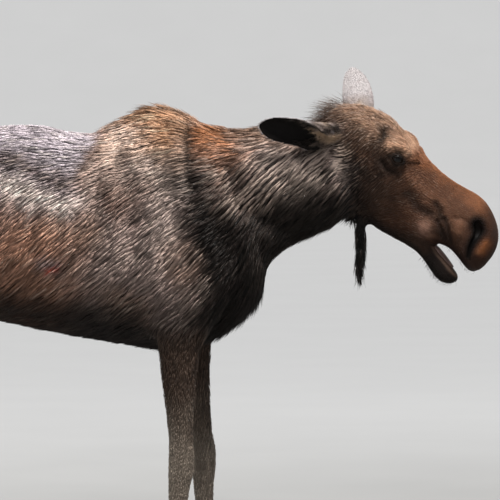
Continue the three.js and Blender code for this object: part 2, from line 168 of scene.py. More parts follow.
def placed(name, mesh):
    """A smooth-shaded object in the scene, made of a mesh."""
    mesh.polygons.foreach_set("use_smooth", np.full(len(mesh.polygons), True))
    mesh.name = name
    piece = bpy.data.objects.new(name, mesh)
    bpy.context.scene.collection.objects.link(piece)
    return piece


def triangle_object(name, points, triangles):
    """A mesh object from arrays, without a Python list of its faces."""
    mesh = bpy.data.meshes.new(name)
    mesh.vertices.add(len(points))
    mesh.vertices.foreach_set("co", np.ascontiguousarray(points, np.float32).ravel())
    mesh.loops.add(triangles.size)
    mesh.loops.foreach_set("vertex_index", np.ascontiguousarray(triangles, np.int32).ravel())
    mesh.polygons.add(len(triangles))
    mesh.polygons.foreach_set("loop_start", np.arange(0, triangles.size, 3, dtype=np.int32))
    mesh.update(calc_edges=True)
    mesh.validate()
    return placed(name, mesh)


def with_modifier(piece, kind, **settings):
    """The mesh that one modifier makes of an object, which is then removed."""
    modifier = piece.modifiers.new(kind, kind)
    for name, value in settings.items():
        setattr(modifier, name, value)
    bpy.context.view_layer.update()
    mesh = bpy.data.meshes.new_from_object(piece.evaluated_get(bpy.context.evaluated_depsgraph_get()))
    bpy.data.objects.remove(piece)
    return mesh


def remeshed(points, triangles, voxel):
    return with_modifier(triangle_object("lump", points, triangles), "REMESH", mode="VOXEL", voxel_size=voxel)


def solid_arrays(node):
    """A CAD solid's welded points and triangles, in the shared frame."""
    thing = NODES[node]
    turn = np.array(thing.matrix_world)
    points = mesh_points(thing.data) @ turn[:3, :3].T + turn[:3, 3]
    _, first, welded = np.unique(np.round(points, 6), axis=0, return_index=True, return_inverse=True)
    triangles = welded.ravel()[mesh_triangles(thing.data)]
    a, b, c = triangles.T
    return points[first], triangles[(a != b) & (b != c) & (a != c)]


def joined(nodes, growth=lambda node: 0.0):
    """Points and triangles of several solids, each grown along its normals."""
    points, triangles, start = [], [], 0
    for node in nodes:
        own_points, own_triangles = solid_arrays(node)
        points.append(own_points + vertex_normals(own_points, own_triangles) * growth(node))
        triangles.append(own_triangles + start)
        start += len(own_points)
    return np.concatenate(points), np.concatenate(triangles)


def on(owner, *nodes):
    """True where the skin belongs to one of the given nodes."""
    return np.isin(owner, [FLESH.index(node) for node in nodes])


# ------------------------------------------------------------------ the head's own frame

HEAD_PITCH = np.radians(38)
HEAD_YAW = np.radians(7)
EYE_ALONG, EYE_UP, EYE_OUT = 228, 63, 93
EYE_RADIUS = 22


def middle(node):
    low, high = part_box(node)
    return np.array((low + high) / 2)


EYES = {1: middle("eye_left"), -1: middle("eye_right")}
AHEAD = np.array(
    [np.cos(HEAD_PITCH) * np.cos(HEAD_YAW), -np.cos(HEAD_PITCH) * np.sin(HEAD_YAW), -np.sin(HEAD_PITCH)]
)
ASIDE = unit(EYES[1] - EYES[-1])
ABOVE = np.cross(AHEAD, ASIDE)
HEAD_ORIGIN = (EYES[1] + EYES[-1]) / 2 - (AHEAD * EYE_ALONG + ABOVE * EYE_UP) / 1000


def to_head(points):
    return (points - HEAD_ORIGIN) @ np.stack([AHEAD, ASIDE, ABOVE], axis=1) * 1000


def from_head(points):
    return HEAD_ORIGIN + (points / 1000) @ np.stack([AHEAD, ASIDE, ABOVE])


# ------------------------------------------------------------------ one skin over all the flesh


def merged_flesh():
    """All the flesh as one mesh, and the number of the node that each of its points belongs to."""
    points, triangles = joined(FLESH)
    grown, _ = joined(FLESH, lambda node: EAR_GROWTH if node in EARS else CLOSE_GAPS)
    owners = np.repeat(np.arange(len(FLESH)), [len(solid_arrays(node)[1]) for node in FLESH])
    owner_of = BVHTree.FromPolygons(points.tolist(), triangles.tolist())
    web_points, web_triangles = webbing()
    triangles = np.concatenate([triangles, web_triangles + len(points)])
    mesh = remeshed(np.concatenate([grown, web_points]), triangles, VOXEL)
    nearest = [owner_of.find_nearest(point)[2] for point in mesh_points(mesh).tolist()]
    return mesh, owners[np.array(nearest)]


def webbing():
    """Fills the creases between the big solids: they grow until the creases close, then shrink back."""
    mesh = remeshed(*joined(["trunk", "neck", "head", *LEGS], lambda node: WEB), WEB_VOXEL)
    near = Neighbours(mesh_edges(mesh), len(mesh.vertices))
    triangles = mesh_triangles(mesh)
    points = near.smooth(mesh_points(mesh), 6)
    normals = unit(near.smooth(vertex_normals(points, triangles), 3))
    return near.smooth(points - normals * (WEB + 0.001), 4), triangles


def by_owner(owner, default, **values):
    """One value for each point, by the start of its node's name."""
    table = np.full(len(FLESH), float(default))
    for index, node in enumerate(FLESH):
        for start, value in values.items():
            if node.startswith(start):
                table[index] = value
    return table[owner]


def ridge_height(points):
    """How near a point is to the mane line, 0 to 1: the top of the hump and of the neck."""
    x, _, z = points.T
    return smoothstep(x, -0.22, 0.02) * fade(x, 0.66, 0.78) * smoothstep(z - mane_top(x), -0.075, -0.01)


def mane_top(x):
    """Height of the back and neck line of the CAD solids."""
    return np.interp(x, BACK_LINE[:, 0], BACK_LINE[:, 1])


def back_line():
    points = np.concatenate([solid_arrays(node)[0] for node in ("trunk", "neck")])
    places = np.linspace(points[:, 0].min() + 0.02, points[:, 0].max() - 0.01, 45)
    heights = [points[np.abs(points[:, 0] - x) < 0.05, 2].max() for x in places]
    return np.stack([places, heights], axis=1)


BACK_LINE = back_line()


def coat_depth(points, owner):
    """How far the skin lies below the tips of the coat."""
    depth = by_owner(owner, 0.005, trunk=0.009, neck=0.011, ear=0.0010, tail=0.006, bell=0.007)
    depth = np.where(on(owner, *LEGS), 0.0042 + 0.0045 * smoothstep(points[:, 2], 0.7, 1.15), depth)
    face = 0.0012 + 0.0034 * fade(to_head(points)[:, 0], 60, 520)
    depth = np.where(on(owner, "head", "lower_jaw"), face, depth)
    return depth + 0.012 * ridge_height(points) * on(owner, "trunk", "neck")


def line_distance(spots, line):
    """Distance in a plane from each spot to a line through the given points, and the share along it."""
    best, share = np.full(len(spots), 1e9), np.zeros(len(spots))
    line = np.array(line, float)
    for i, (a, b) in enumerate(zip(line[:-1], line[1:])):
        t = np.clip((spots - a) @ (b - a) / ((b - a) @ (b - a)), 0, 1)
        distance = np.linalg.norm(spots - a - t[:, None] * (b - a), axis=1)
        share = np.where(distance < best, (i + t) / (len(line) - 1), share)
        best = np.minimum(best, distance)
    return best, share


def near_line(spots, line, width):
    """1 on a line, fading away from it over about `width`."""
    return np.exp(-0.5 * (line_distance(spots, line)[0] / width) ** 2)


CHEEK_HOLLOW = [(340, -10), (392, -30), (436, -22)]
NOSE_FOLD = [(430, 20), (452, 8), (478, -14)]
MOUTH_FOLDS = [(470, -28), (504, -46), (532, -72)], [(488, -2), (522, -32), (550, -62)]
# Forms of the face that stand out or in, both sides alike: (along, up) points, width, height.
FACE_FORMS = [
    ([(268, 36), (320, 30), (385, 28), (450, 34)], 10, 3.0),  # facial crest
    (CHEEK_HOLLOW, 15, -4.5),
    ([(150, -95), (220, -108)], 42, 5.0),  # chewing muscle
    ([(300, -60), (338, -112)], 14, -3.0),  # its front edge
    ([(80, -50), (122, -150)], 14, 5.0),  # back edge of the jaw
    ([(40, -50), (78, -160)], 16, -6.0),
    ([(450, -76), (452, -78)], 16, 6.5),  # pad behind the corner of the mouth
    (MOUTH_FOLDS[0], 5.5, -4.5),
    (MOUTH_FOLDS[1], 5.5, -3.6),
    (NOSE_FOLD, 8, -4.5),
    ([(540, 8), (548, -8)], 15, 6.5),  # upper lip
    ([(512, 22), (530, 34), (556, 38)], 6, -3.0),
    ([(600, -66), (640, -74)], 20, 3.5),
    ([(178, 84), (200, 106), (232, 113), (262, 104)], 15, 12.0),  # brow
    ([(282, 92), (300, 100)], 10, 3.0),
    ([(140, 108), (150, 90)], 12, -8.0),  # hollow behind the brow
    ([(168, 62), (178, 40), (196, 22)], 12, -3.5),  # behind and below the eye
    ([(196, 26), (226, 14), (258, 28)], 8, -4.0),
    ([(268, 76), (282, 84), (298, 91)], 3.2, -4.5),  # tear gland
    ([(262, 84), (284, 96)], 5, 2.0),
    ([(262, 52), (276, 34)], 4.0, -3.0),  # track of the tears
    ([(420, 90), (500, 96)], 16, -2.5),  # side of the nose bridge
]
NOSTRIL_LINE = [(588, 52), (602, 40), (610, 20), (612, -4), (618, -30), (632, -58)]
NOSTRIL_SHARES = [0, 0.2, 0.45, 0.7, 1]  # along that line, where its width is given
NOSTRIL_RIM = [(604, 78), (634, 62), (648, 36), (650, 4), (652, -26)]


def face_lift(head, sideways):
    """Height of the forms of the face in millimetres, none where the face looks up or down."""
    spots = head[:, [0, 2]]
    lift = sum(height * near_line(spots, line, width) for line, width, height in FACE_FORMS)
    distance, share = line_distance(spots, NOSTRIL_LINE)
    bore = np.interp(share, NOSTRIL_SHARES, [15, 15, 9, 6.5, 5])
    lift -= np.interp(share, [0, 0.3, 1], [13, 13, 4]) * np.exp(-((distance / bore) ** 4))
    lift += 3.5 * near_line(spots, NOSTRIL_RIM, 8)
    return 1.2 * lift * smoothstep(sideways, 0.1, 0.45)


# The eye's opening: half length, half height, its long axis and the way it looks, in the head frame.
OPENING = (20.5, 14.0)
LID = 2.6
LID_AXIS = np.array([0.952, 0, 0.306])
GAZE = {side: unit(np.array([0.16, side * 0.96, 0.2])) for side in EYES}


def eye_centre(side):
    return np.array([EYE_ALONG, side * EYE_OUT, EYE_UP])


def eye_frame(side):
    """Unit vectors along the lids, up across them and outwards."""
    out = GAZE[side]
    across = unit(LID_AXIS - out * (LID_AXIS @ out))
    rise = np.cross(out, across)
    return across, rise * np.sign(rise[2]), out


def eye_spots(head, side):
    """A point's place before an eye: along the lids, up across them, outwards, in millimetres."""
    return (head - eye_centre(side)) @ np.stack(eye_frame(side), axis=1)


def almond(spots):
    """1 on the margin of the lids, less inside."""
    x, y = spots[:, 0] / OPENING[0], spots[:, 1] / OPENING[1]
    drawn = 1 - 0.3 * np.clip(np.abs(x), 0, 1) ** 2
    return np.sqrt(x**2 + (y / drawn) ** 2)


def lids(head):
    """Draws the skin round each eye into two lids on the ball, with a crease behind their margins."""
    moved = head.copy()
    for side in EYES:
        spots = eye_spots(head, side)
        reach = np.hypot(spots[:, 0], spots[:, 1])
        near = (reach < 56) & (spots[:, 2] > -30)
        spot, t, reach = spots[near], almond(spots[near]), reach[near]
        shell = (EYE_RADIUS + LID) * np.exp(-0.5 * (reach / (EYE_RADIUS + LID)) ** 2)
        out = towards(shell, spot[:, 2], smoothstep(reach, 20, 52))
        upper = spot[:, 1] > 0
        upper_crease, lower_crease = 2.6 * peak(t, 1.7, 0.13), 1.5 * peak(t, 1.55, 0.12)
        out += np.where(upper, 1.6, 0.7) * peak(t, 1.28, 0.2) - np.where(upper, upper_crease, lower_crease)
        out = towards(4, out, smoothstep(t, 0.94, 1.05))
        across, rise, ahead = eye_frame(side)
        moved[near] = eye_centre(side) + spot[:, :1] * across + spot[:, 1:2] * rise + out[:, None] * ahead
    return moved


def refine(mesh, spots, cuts):
    """Splits the faces near the given places, each a point and a radius in metres."""
    shape = bmesh.new()
    shape.from_mesh(mesh)
    centres = np.array([face.calc_center_median() for face in shape.faces])
    chosen = np.zeros(len(centres), bool)
    for place, radius in spots:
        chosen |= np.linalg.norm(centres - place, axis=1) < radius
    shape.faces.ensure_lookup_table()
    edges = {edge for index in np.flatnonzero(chosen) for edge in shape.faces[index].edges}
    bmesh.ops.subdivide_edges(shape, edges=list(edges), cuts=cuts, use_grid_fill=True)
    bmesh.ops.triangulate(shape, faces=[face for face in shape.faces if len(face.verts) > 4])
    shape.to_mesh(mesh)
    shape.free()


def seams(near, owner, strength):
    """How near a point is to where one solid meets the next, times that meeting's strength."""
    other = owner[near.others] != owner[near.ends]
    met = np.zeros(near.count)
    np.maximum.at(met, near.ends[other], (strength[near.ends] * strength[near.others])[other])
    return np.clip(near.smooth(met, 26) * 6, 0, 1)


def make_skin():
    """One mesh over all the flesh, smooth over the seams and set in by the coat's depth."""
    mesh, owner = merged_flesh()
    points = mesh_points(mesh)
    near = Neighbours(mesh_edges(mesh), len(points))
    rounds = by_owner(owner, ROUNDS, trunk=120, neck=100, head=20, ear=7, tail=16, bell=16)
    rounds = np.where(on(owner, *LEGS), ROUNDS + 100 * smoothstep(points[:, 2], 0.8, 1.1), rounds)
    rounds = near.smooth(rounds, 20) + 150 * seams(near, owner, by_owner(owner, 1, lower_jaw=0, ear=0.25))
    for done in range(MOST_ROUNDS):
        points = towards(points, near.average(points), 0.5 * np.clip(rounds - done, 0, 1)[:, None])
    is_ear = on(owner, *EARS)
    depth = near.smooth(coat_depth(points, np.where(is_ear, FLESH.index("head"), owner)), 70)
    depth = near.smooth(np.where(is_ear, coat_depth(points, owner), depth), 8)
    depth += near.smooth(by_owner(owner, CLOSE_GAPS, ear=EAR_GROWTH), 12)
    normals = near.smooth(vertex_normals(points, mesh_triangles(mesh)), 2)
    set_points(mesh, near.smooth(points - unit(normals) * depth[:, None], 2, 0.3))
    store(mesh, "owner", owner)
    refine(mesh, [(EYES[side], 0.052) for side in EYES], 3)
    refine(mesh, [(from_head(np.array([612, side * 78, 8])), 0.07) for side in EYES], 1)
    return mesh


def store(mesh, name, values):
    layer = mesh.attributes.get(name) or mesh.attributes.new(name, "FLOAT", "POINT")
    layer.data.foreach_set("value", np.ascontiguousarray(values, np.float32))


def stored(mesh, name):
    values = np.empty(len(mesh.vertices), np.float32)
    mesh.attributes[name].data.foreach_get("value", values)
    return values


# Forms of the body, both sides alike: (x, z) points in metres, width and height in millimetres.
BODY_FORMS = [
    ([(0.185, 1.80), (0.178, 1.70), (0.182, 1.58)], 20, -9),  # before the shoulder
    ([(0.10, 1.70), (0.20, 1.55), (0.31, 1.38)], 45, 6),  # shoulder blade
    ([(-0.07, 1.66), (-0.04, 1.52), (-0.03, 1.36)], 32, -9),  # behind it
    ([(0.02, 1.30), (0.06, 1.16)], 50, 7),  # upper arm
    ([(0.34, 1.30), (0.30, 1.24)], 34, 6),  # point of the shoulder
    ([(-0.80, 1.655), (-0.77, 1.63)], 34, 8),  # point of the hip
    ([(-0.68, 1.64), (-0.62, 1.56)], 60, -9),  # hollow of the flank
    ([(-0.72, 1.26), (-0.64, 1.16)], 34, 7),  # fold before the thigh
    ([(-0.62, 1.30), (-0.60, 1.18)], 30, -5),
    ([(-1.10, 1.56), (-1.13, 1.50)], 34, 6),  # point of the rump
    ([(0.34, 1.66), (0.46, 1.55), (0.60, 1.50)], 40, 5),  # muscle along the neck
    ([(0.36, 1.50), (0.52, 1.42)], 26, -5),
]
RIBS = [(-0.52 + 0.07 * i, 1.60 - 0.004 * i) for i in range(7)]


def body_lift(points, normals):
    """Height of the forms of the body in millimetres, none where it looks up or down."""
    spots = points[:, [0, 2]] * 1000
    lift = 1.6 * ripple(points, 0.34, 31) + 0.4 * ripple(points, 0.12, 32)
    for line, width, height in BODY_FORMS:
        lift += height * near_line(spots, np.array(line) * 1000, width)
    for x, z in RIBS:
        lift += 0.8 * near_line(spots, [(x * 1000, z * 1000), (x * 1000 - 60, 1180)], 16)
    return lift * smoothstep(np.abs(normals[:, 1]), 0.1, 0.5)


def sculpt(mesh):
    """Raises the forms of body and face, and closes the lids round the eyes."""
    points = mesh_points(mesh)
    near = Neighbours(mesh_edges(mesh), len(points))
    normals = vertex_normals(points, mesh_triangles(mesh))
    owner = np.round(stored(mesh, "owner")).astype(int)
    of_head = on(owner, "head", "lower_jaw")
    of_body = on(owner, "trunk", "neck") & (points[:, 0] < 0.68)
    head_share, body_share = (near.smooth(own.astype(float), 60) for own in (of_head, of_body))
    head = to_head(points)
    relief = body_share * body_lift(points, normals)
    relief += head_share * (head[:, 0] > -40) * face_lift(head, np.abs(normals @ ASIDE))
    store(mesh, "relief", relief)
    points += normals * relief[:, None] / 1000
    points[of_head] = from_head(lids(to_head(points)))[of_head]
    set_points(mesh, points)


# ------------------------------------------------------------------ markings and painted light and shade, the same on skin and coat


# Colours as seen on a screen, 0 to 255.
SILVER = (188, 177, 184)
GREY_BROWN = (152, 133, 126)
TAN = (172, 132, 104)
GOLD = (208, 160, 124)
CREAM = (230, 205, 192)
RUST = (186, 131, 99)
NECK_BROWN = (98, 82, 75)
NECK_GOLD = (158, 102, 63)
DARK = (50, 38, 31)
BLACK = (24, 19, 17)
BEIGE = (204, 186, 172)
LEG_GREY = (142, 130, 118)


def painted(colour, *layers):
    """Layers over one colour or over all points' colours: each a colour and its cover of each point."""
    if isinstance(colour, tuple):
        colour = linear(*colour)
    for tone, share in layers:
        colour = mix(colour, linear(*tone), share)
    return colour


# Rounds of smoothing over which a node's markings and hair fade into its neighbours'.
FADES = {"head": 70, "lower_jaw": 24, "ear_left": 5, "ear_right": 5, "tail": 14, "bell": 14}
LEG_FADE = 110


class Skin:
    """What the markings and the coat need to know of each point of the skin."""

    def __init__(self, mesh):
        self.points = mesh_points(mesh)
        self.triangles = mesh_triangles(mesh)
        self.normals = vertex_normals(self.points, self.triangles)
        self.near = Neighbours(mesh_edges(mesh), len(self.points))
        self.owner = np.round(stored(mesh, "owner")).astype(int)
        self.relief = stored(mesh, "relief")
        self.head = to_head(self.points)
        self.faces_up = self.normals @ ABOVE
        self.drop = mane_top(self.points[:, 0]) - self.points[:, 2]
        self.share = {node: self.faded([node], rounds) for node, rounds in FADES.items()}
        self.all_legs = self.faded(LEGS, LEG_FADE)
        a, b, c = (self.points[self.triangles[:, i]] for i in range(3))
        self.areas = np.linalg.norm(np.cross(b - a, c - a), axis=1) / 2

    def ripple(self, size, seed):
        return ripple(self.points, size, seed)

    def faded(self, nodes, rounds):
        """1 on the given nodes' skin, fading over their edge."""
        return self.near.smooth(on(self.owner, *nodes).astype(float), rounds)

    def legs(self, low, high):
        """1 on the legs below `low`, fading up to `high`."""
        return self.all_legs * fade(self.points[:, 2], low, high)

    def face(self):
        return np.clip(self.share["head"] + self.share["lower_jaw"], 0, 1)

    def hanging(self):
        return np.clip(self.share["tail"] + self.share["bell"], 0, 1)

    def ears(self):
        return np.clip(sum(self.share[ear] for ear in EARS), 0, 1)


EAR_WAYS = {  # the way each ear points and the way its cup faces
    "ear_right": (np.array([-0.94, -0.3, 0.06]), np.array([-0.1, -0.9, -0.4])),
    "ear_left": (np.array([0, 0.77, 0.63]), np.array([0.18, 0.63, -0.74])),
}


def ear_place(skin, ear):
    """How far a point is along an ear, if it faces the cup's way, lies in the cup, and its height across."""
    tip, mouth = (unit(way) for way in EAR_WAYS[ear])
    own = on(skin.owner, ear)
    mouth = unit(mouth - tip * (mouth @ tip))
    share, height = (stretched(skin.points @ way, own) for way in (tip, np.cross(tip, mouth)))
    facing = skin.normals @ mouth
    edge = share - 0.10 - 0.42 * height + 0.05 * skin.ripple(0.016, 14)
    return share, facing, smoothstep(facing, 0.0, 0.3) * smoothstep(edge, -0.03, 0.05), height


def stretched(values, own):
    """Values that run from 0 to 1 over a node's own points."""
    low, high = np.percentile(values[own], (1, 99))
    return (values - low) / (high - low)


def body_markings(skin):
    x, y, z = skin.points.T
    broad, fine = skin.ripple(0.30, 1), skin.ripple(0.08, 2)
    drop = skin.drop + 0.03 * broad + 0.012 * fine
    forward = x + 0.04 * skin.ripple(0.26, 3) + 0.012 * fine

    def patch(start, end, edge, top, bottom, soft):
        """1 over a stretch of the body's length and of the drop from its back."""
        return band(forward, start, end, edge) * band(drop, top, bottom, soft)

    def near(width, *line):
        """Near a line seen from the side, of (x, z) points."""
        return near_line(skin.points[:, [0, 2]], line, width)

    chest = smoothstep(forward, 0.12, 0.30) * smoothstep(drop + 0.12 * smoothstep(x, 0.3, 0.6), 0.22, 0.36)
    return painted(
        GREY_BROWN,
        (TAN, 0.35 * smoothstep(skin.ripple(0.22, 4), -0.2, 1.2)),
        (DARK, 0.22 * smoothstep(skin.ripple(0.15, 5), 0.2, 1.3)),
        # The back silver, partly pale coat, partly painted sheen; then a dark band of painted shade and a
        # pale band of painted light under it, and the rusty flank.
        (SILVER, fade(forward, -0.27, 0.05) * fade(drop, 0.04, 0.36)),
        ((154, 145, 151), 0.5 * band(forward, -0.29, -0.12, 0.06) * fade(drop, 0.06, 0.14)),
        ((90, 75, 71), 0.85 * patch(-0.95, -0.07, 0.10, 0.09, 0.165, 0.04)),
        ((224, 207, 198), 0.88 * patch(-0.95, -0.18, 0.10, 0.185, 0.265, 0.04)),
        (RUST, 0.65 * band(forward, -1.2, -0.24, 0.12) * smoothstep(drop, 0.24, 0.40)),
        # The hump, pale behind, and the shoulder, with a brown patch behind it, partly painted shade in the
        # hollow there.
        (GOLD, 0.95 * band(forward, -0.13, 0.165, 0.09) * fade(drop, 0.07, 0.25)),
        (CREAM, 0.9 * patch(-0.11, 0.0, 0.08, 0.03, 0.17, 0.06)),
        (BEIGE, 0.35 * patch(-0.10, 0.18, 0.08, 0.14, 0.30, 0.09)),
        ((174, 157, 149), 0.55 * patch(0.0, 0.17, 0.05, 0.25, 0.52, 0.08)),
        ((92, 62, 49), 0.72 * patch(-0.10, 0.0, 0.045, 0.20, 0.36, 0.06)),
        # The neck, golden along its top, with painted shade in the grooves where it meets hump and shoulder.
        (NECK_BROWN, smoothstep(forward, 0.20, 0.30) * smoothstep(drop, 0.07, 0.18)),
        (NECK_GOLD, 0.9 * band(forward, 0.20, 0.39, 0.06) * fade(drop, 0.07, 0.19)),
        (TAN, 0.6 * band(forward, 0.38, 0.66, 0.06) * fade(drop, 0.03, 0.12)),
        (DARK, 0.8 * near(0.018, (0.192, 1.86), (0.182, 1.72), (0.190, 1.60)) * smoothstep(drop, 0, 0.07)),
        (BLACK, 0.9 * near(0.045, (0.205, 1.60), (0.24, 1.50), (0.30, 1.36))),
        ((136, 122, 116), 0.6 * near(0.05, (0.50, 1.67), (0.64, 1.62))),
        # Chest, belly, throat and the corner of the jaw dark, partly their dark coat, partly painted shade.
        (BLACK, 0.94 * chest),
        (BLACK, 0.85 * fade(z + 0.03 * broad, 1.04, 1.30)),
        (BLACK, 0.95 * near(0.052, (0.58, 1.42), (0.69, 1.475), (0.76, 1.44))),
        ((44, 36, 32), 0.85 * near(0.034, (0.73, 1.67), (0.75, 1.56), (0.72, 1.48))),
        # A healing scrape on the right flank.
        ((128, 116, 116), 0.8 * near(0.022, (-0.315, 1.325), (-0.275, 1.310)) * (y < 0)),
        ((152, 64, 50), 0.9 * near(0.008, (-0.295, 1.298), (-0.268, 1.300)) * (y < 0)),
        # Painted shade wherever the skin faces down; then the rump browner and the mane's ridge dark.
        (BLACK, 0.85 * smoothstep(-skin.normals[:, 2], 0.1, 0.7)),
        ((112, 90, 76), 0.6 * smoothstep(-x, 0.98, 1.16)),
        (DARK, 0.75 * np.clip(1.2 * ridge_height(skin.points), 0, 1) ** 2),
    )


def leg_markings(skin):
    x, _, z = skin.points.T
    noise = 0.05 * skin.ripple(0.15, 8)
    return painted(
        (72, 57, 48),
        ((100, 80, 68), 0.7 * smoothstep(z + noise, 1.0, 1.25) * (x < -0.4)),
        (LEG_GREY, 0.9 * fade(z + noise, 0.55, 0.9)),
        ((172, 160, 146), 0.5 * smoothstep(-skin.normals[:, 0], 0.2, 0.9) * fade(z, 0.6, 0.9)),
        ((84, 70, 60), 0.75 * fade(z + 0.3 * noise, 0.12, 0.22)),
    )


def head_markings(skin):
    along, out, up = skin.head.T
    noise = skin.ripple(0.06, 9)

    def near(width, *line):
        """Near a line seen from the side, of (along, up) points."""
        return near_line(skin.head[:, [0, 2]], line, width)

    crown = fade(along + 12 * noise, 150, 250) * smoothstep(up, 25, 90)
    distance, share = line_distance(skin.head[:, [0, 2]], NOSTRIL_LINE)
    nostril = np.exp(-((distance / np.interp(share, NOSTRIL_SHARES, [34, 32, 22, 17, 12])) ** 4))
    colour = painted(
        (99, 67, 50),
        ((122, 86, 66), 0.6 * near(36, (300, 40), (400, 20), (470, 30))),
        # Cheek, its lower back near black, partly painted shade; nape; behind the eye; the bridge of the nose
        # and the crown, paler on top, partly painted highlight.
        ((79, 60, 49), 0.9 * fade(along + 16 * noise, 230, 420) * fade(up + 10 * noise, -40, 60)),
        ((28, 22, 20), 0.9 * fade(along + 16 * noise, 130, 290) * fade(up, -50, 20)),
        ((96, 78, 67), 0.8 * fade(along, 90, 210) * smoothstep(up, -40, 60)),
        ((150, 98, 66), 0.8 * smoothstep(up + 8 * noise, 66, 108) * band(along, 290, 560, 60)),
        ((162, 128, 106), 0.85 * crown),
        (DARK, 0.6 * crown * smoothstep(skin.ripple(0.05, 10), 0.0, 1.0)),
        ((208, 168, 138), 0.6 * crown * smoothstep(skin.ripple(0.022, 19), 0.2, 1.1)),
        # Pale brow, partly painted highlight; painted shade in the hollow behind the brow and round and below
        # the eye, down to its dark tear gland.
        ((200, 160, 132), 0.95 * near(14, (176, 88), (204, 108), (240, 108))),
        (DARK, 0.85 * near(10, (134, 110), (148, 90))),
        ((52, 39, 32), 0.7 * near(20, (150, 76), (166, 40), (190, 8))),
        (DARK, 0.85 * near(16, (194, 38), (224, 16), (262, 34))),
        (BLACK, 0.6 * near(4, (270, 79), (282, 85), (295, 91))),
        # Painted shade in the folds of the cheek and of the corner of the mouth.
        (DARK, 0.65 * near(13, (330, -14), (392, -32), (440, -22))),
        (DARK, 0.65 * near(11, *NOSE_FOLD)),
        *((DARK, 0.65 * near(8, *fold)) for fold in MOUTH_FOLDS),
        ((166, 128, 110), 0.75 * near(22, (449, -74), (452, -80))),
        # Muzzle, nostrils and lips, with painted highlight on the top of the muzzle and on the nose pad, and
        # painted shade in and round the nostrils.
        ((132, 94, 72), 0.5 * near(18, (540, 10), (552, -14))),
        ((150, 98, 66), 0.65 * near(16, (560, 104), (610, 84))),
        ((52, 34, 27), 0.85 * smoothstep(along + 6 * noise, 540, 610)),
        ((150, 94, 58), 0.8 * near(12, (655, 16), (657, -12))),
        ((10, 7, 6), 0.97 * nostril * smoothstep(np.abs(out), 30, 60)),
        ((34, 24, 19), 0.75 * near(30, (512, -52), (575, -84), (630, -92))),
        # Where the neck begins, and painted shade on the underside.
        ((150, 130, 116), 0.6 * near(15, (62, -18), (84, -72)) * smoothstep(np.abs(out), 20, 50)),
        (BLACK, 0.85 * fade(up + 10 * noise, -196, -150) * fade(along, 330, 450)),
        (BLACK, 0.8 * smoothstep(-skin.faces_up, 0.1, 0.8) * fade(along, 400, 470)),
    )
    # Painted light and shade: the face paler on its raised forms and darker in its hollows.
    colour = 0.9 * colour * np.clip(1 + 0.055 * skin.relief, 0.4, 1.25)[:, None]
    for side in EYES:
        t = almond(eye_spots(skin.head, side))
        close = np.linalg.norm(skin.head - eye_centre(side), axis=1) < 60
        rims = ((12, 9, 8), close * fade(t, 1.35, 2.0)), (DARK, 0.6 * close * fade(t, 1.8, 2.7))
        colour = painted(colour, *rims)
    # Painted shade on the roof of the mouth, where the head faces down.
    roof = smoothstep(-skin.faces_up, 0.35, 0.8) * smoothstep(along, 470, 500)
    return painted(colour, ((34, 20, 18), 0.9 * roof * on(skin.owner, "head")))


def jaw_markings(skin):
    along, _, up = skin.head.T
    lip = along + 0.5 * up + 10 * skin.ripple(0.04, 12)
    inner = smoothstep(skin.faces_up, 0.45, 0.8) * smoothstep(along, 480, 520)
    return painted(
        (66, 48, 38),
        # Painted shade where the jaw faces down.
        (BLACK, 0.8 * smoothstep(-skin.faces_up, 0.0, 0.8)),
        ((22, 16, 14), 0.95 * smoothstep(lip, 405, 465)),
        ((118, 96, 84), 0.8 * inner),
    )


def ear_markings(skin, ear):
    share, facing, inside, height = ear_place(skin, ear)
    noise = skin.ripple(0.03, 13)
    tube = smoothstep(facing, -0.2, 0.2) * fade(share, 0.5, 0.75)
    dark_root = 0.85 if ear == "ear_right" else 0.5
    return painted(
        (166, 161, 162),
        ((118, 102, 92), dark_root * fade(share + 0.05 * noise, 0.28, 0.46)),
        ((164, 142, 122), 0.8 * fade(share + 0.06 * noise, 0.08, 0.24)),
        # The rolled base of the ear darker as painted shade, near black in one band, with a tan band.
        ((88, 76, 69), 0.85 * tube),
        ((26, 21, 19), 0.95 * tube * band(height + 0.04 * noise, 0.66, 0.82, 0.06)),
        ((184, 156, 128), 0.9 * tube * band(height + 0.04 * noise, 0.30, 0.58, 0.08)),
        # A grey band of painted shade across the ear's back.
        ((120, 110, 110), 0.6 * band(facing, -0.62, -0.12, 0.12) * smoothstep(share, 0.2, 0.5)),
        ((160, 148, 148), 0.3 * smoothstep(noise, 0.3, 1.1)),
        # Painted shade: the inside of the cup near black.
        ((13, 10, 9), inside),
    )


def markings(skin):
    colour = mix(body_markings(skin), leg_markings(skin), skin.legs(0.98, 1.3))
    colour = mix(colour, head_markings(skin), skin.share["head"])
    colour = mix(colour, jaw_markings(skin), skin.share["lower_jaw"])
    for ear in EARS:
        colour = mix(colour, ear_markings(skin, ear), skin.share[ear])
    return painted(colour, (DARK, 0.8 * skin.share["tail"]), (BLACK, 0.95 * skin.share["bell"]))


# ------------------------------------------------------------------ the coat


def tangent(vectors, normals):
    return vectors - normals * np.sum(vectors * normals, axis=1, keepdims=True)


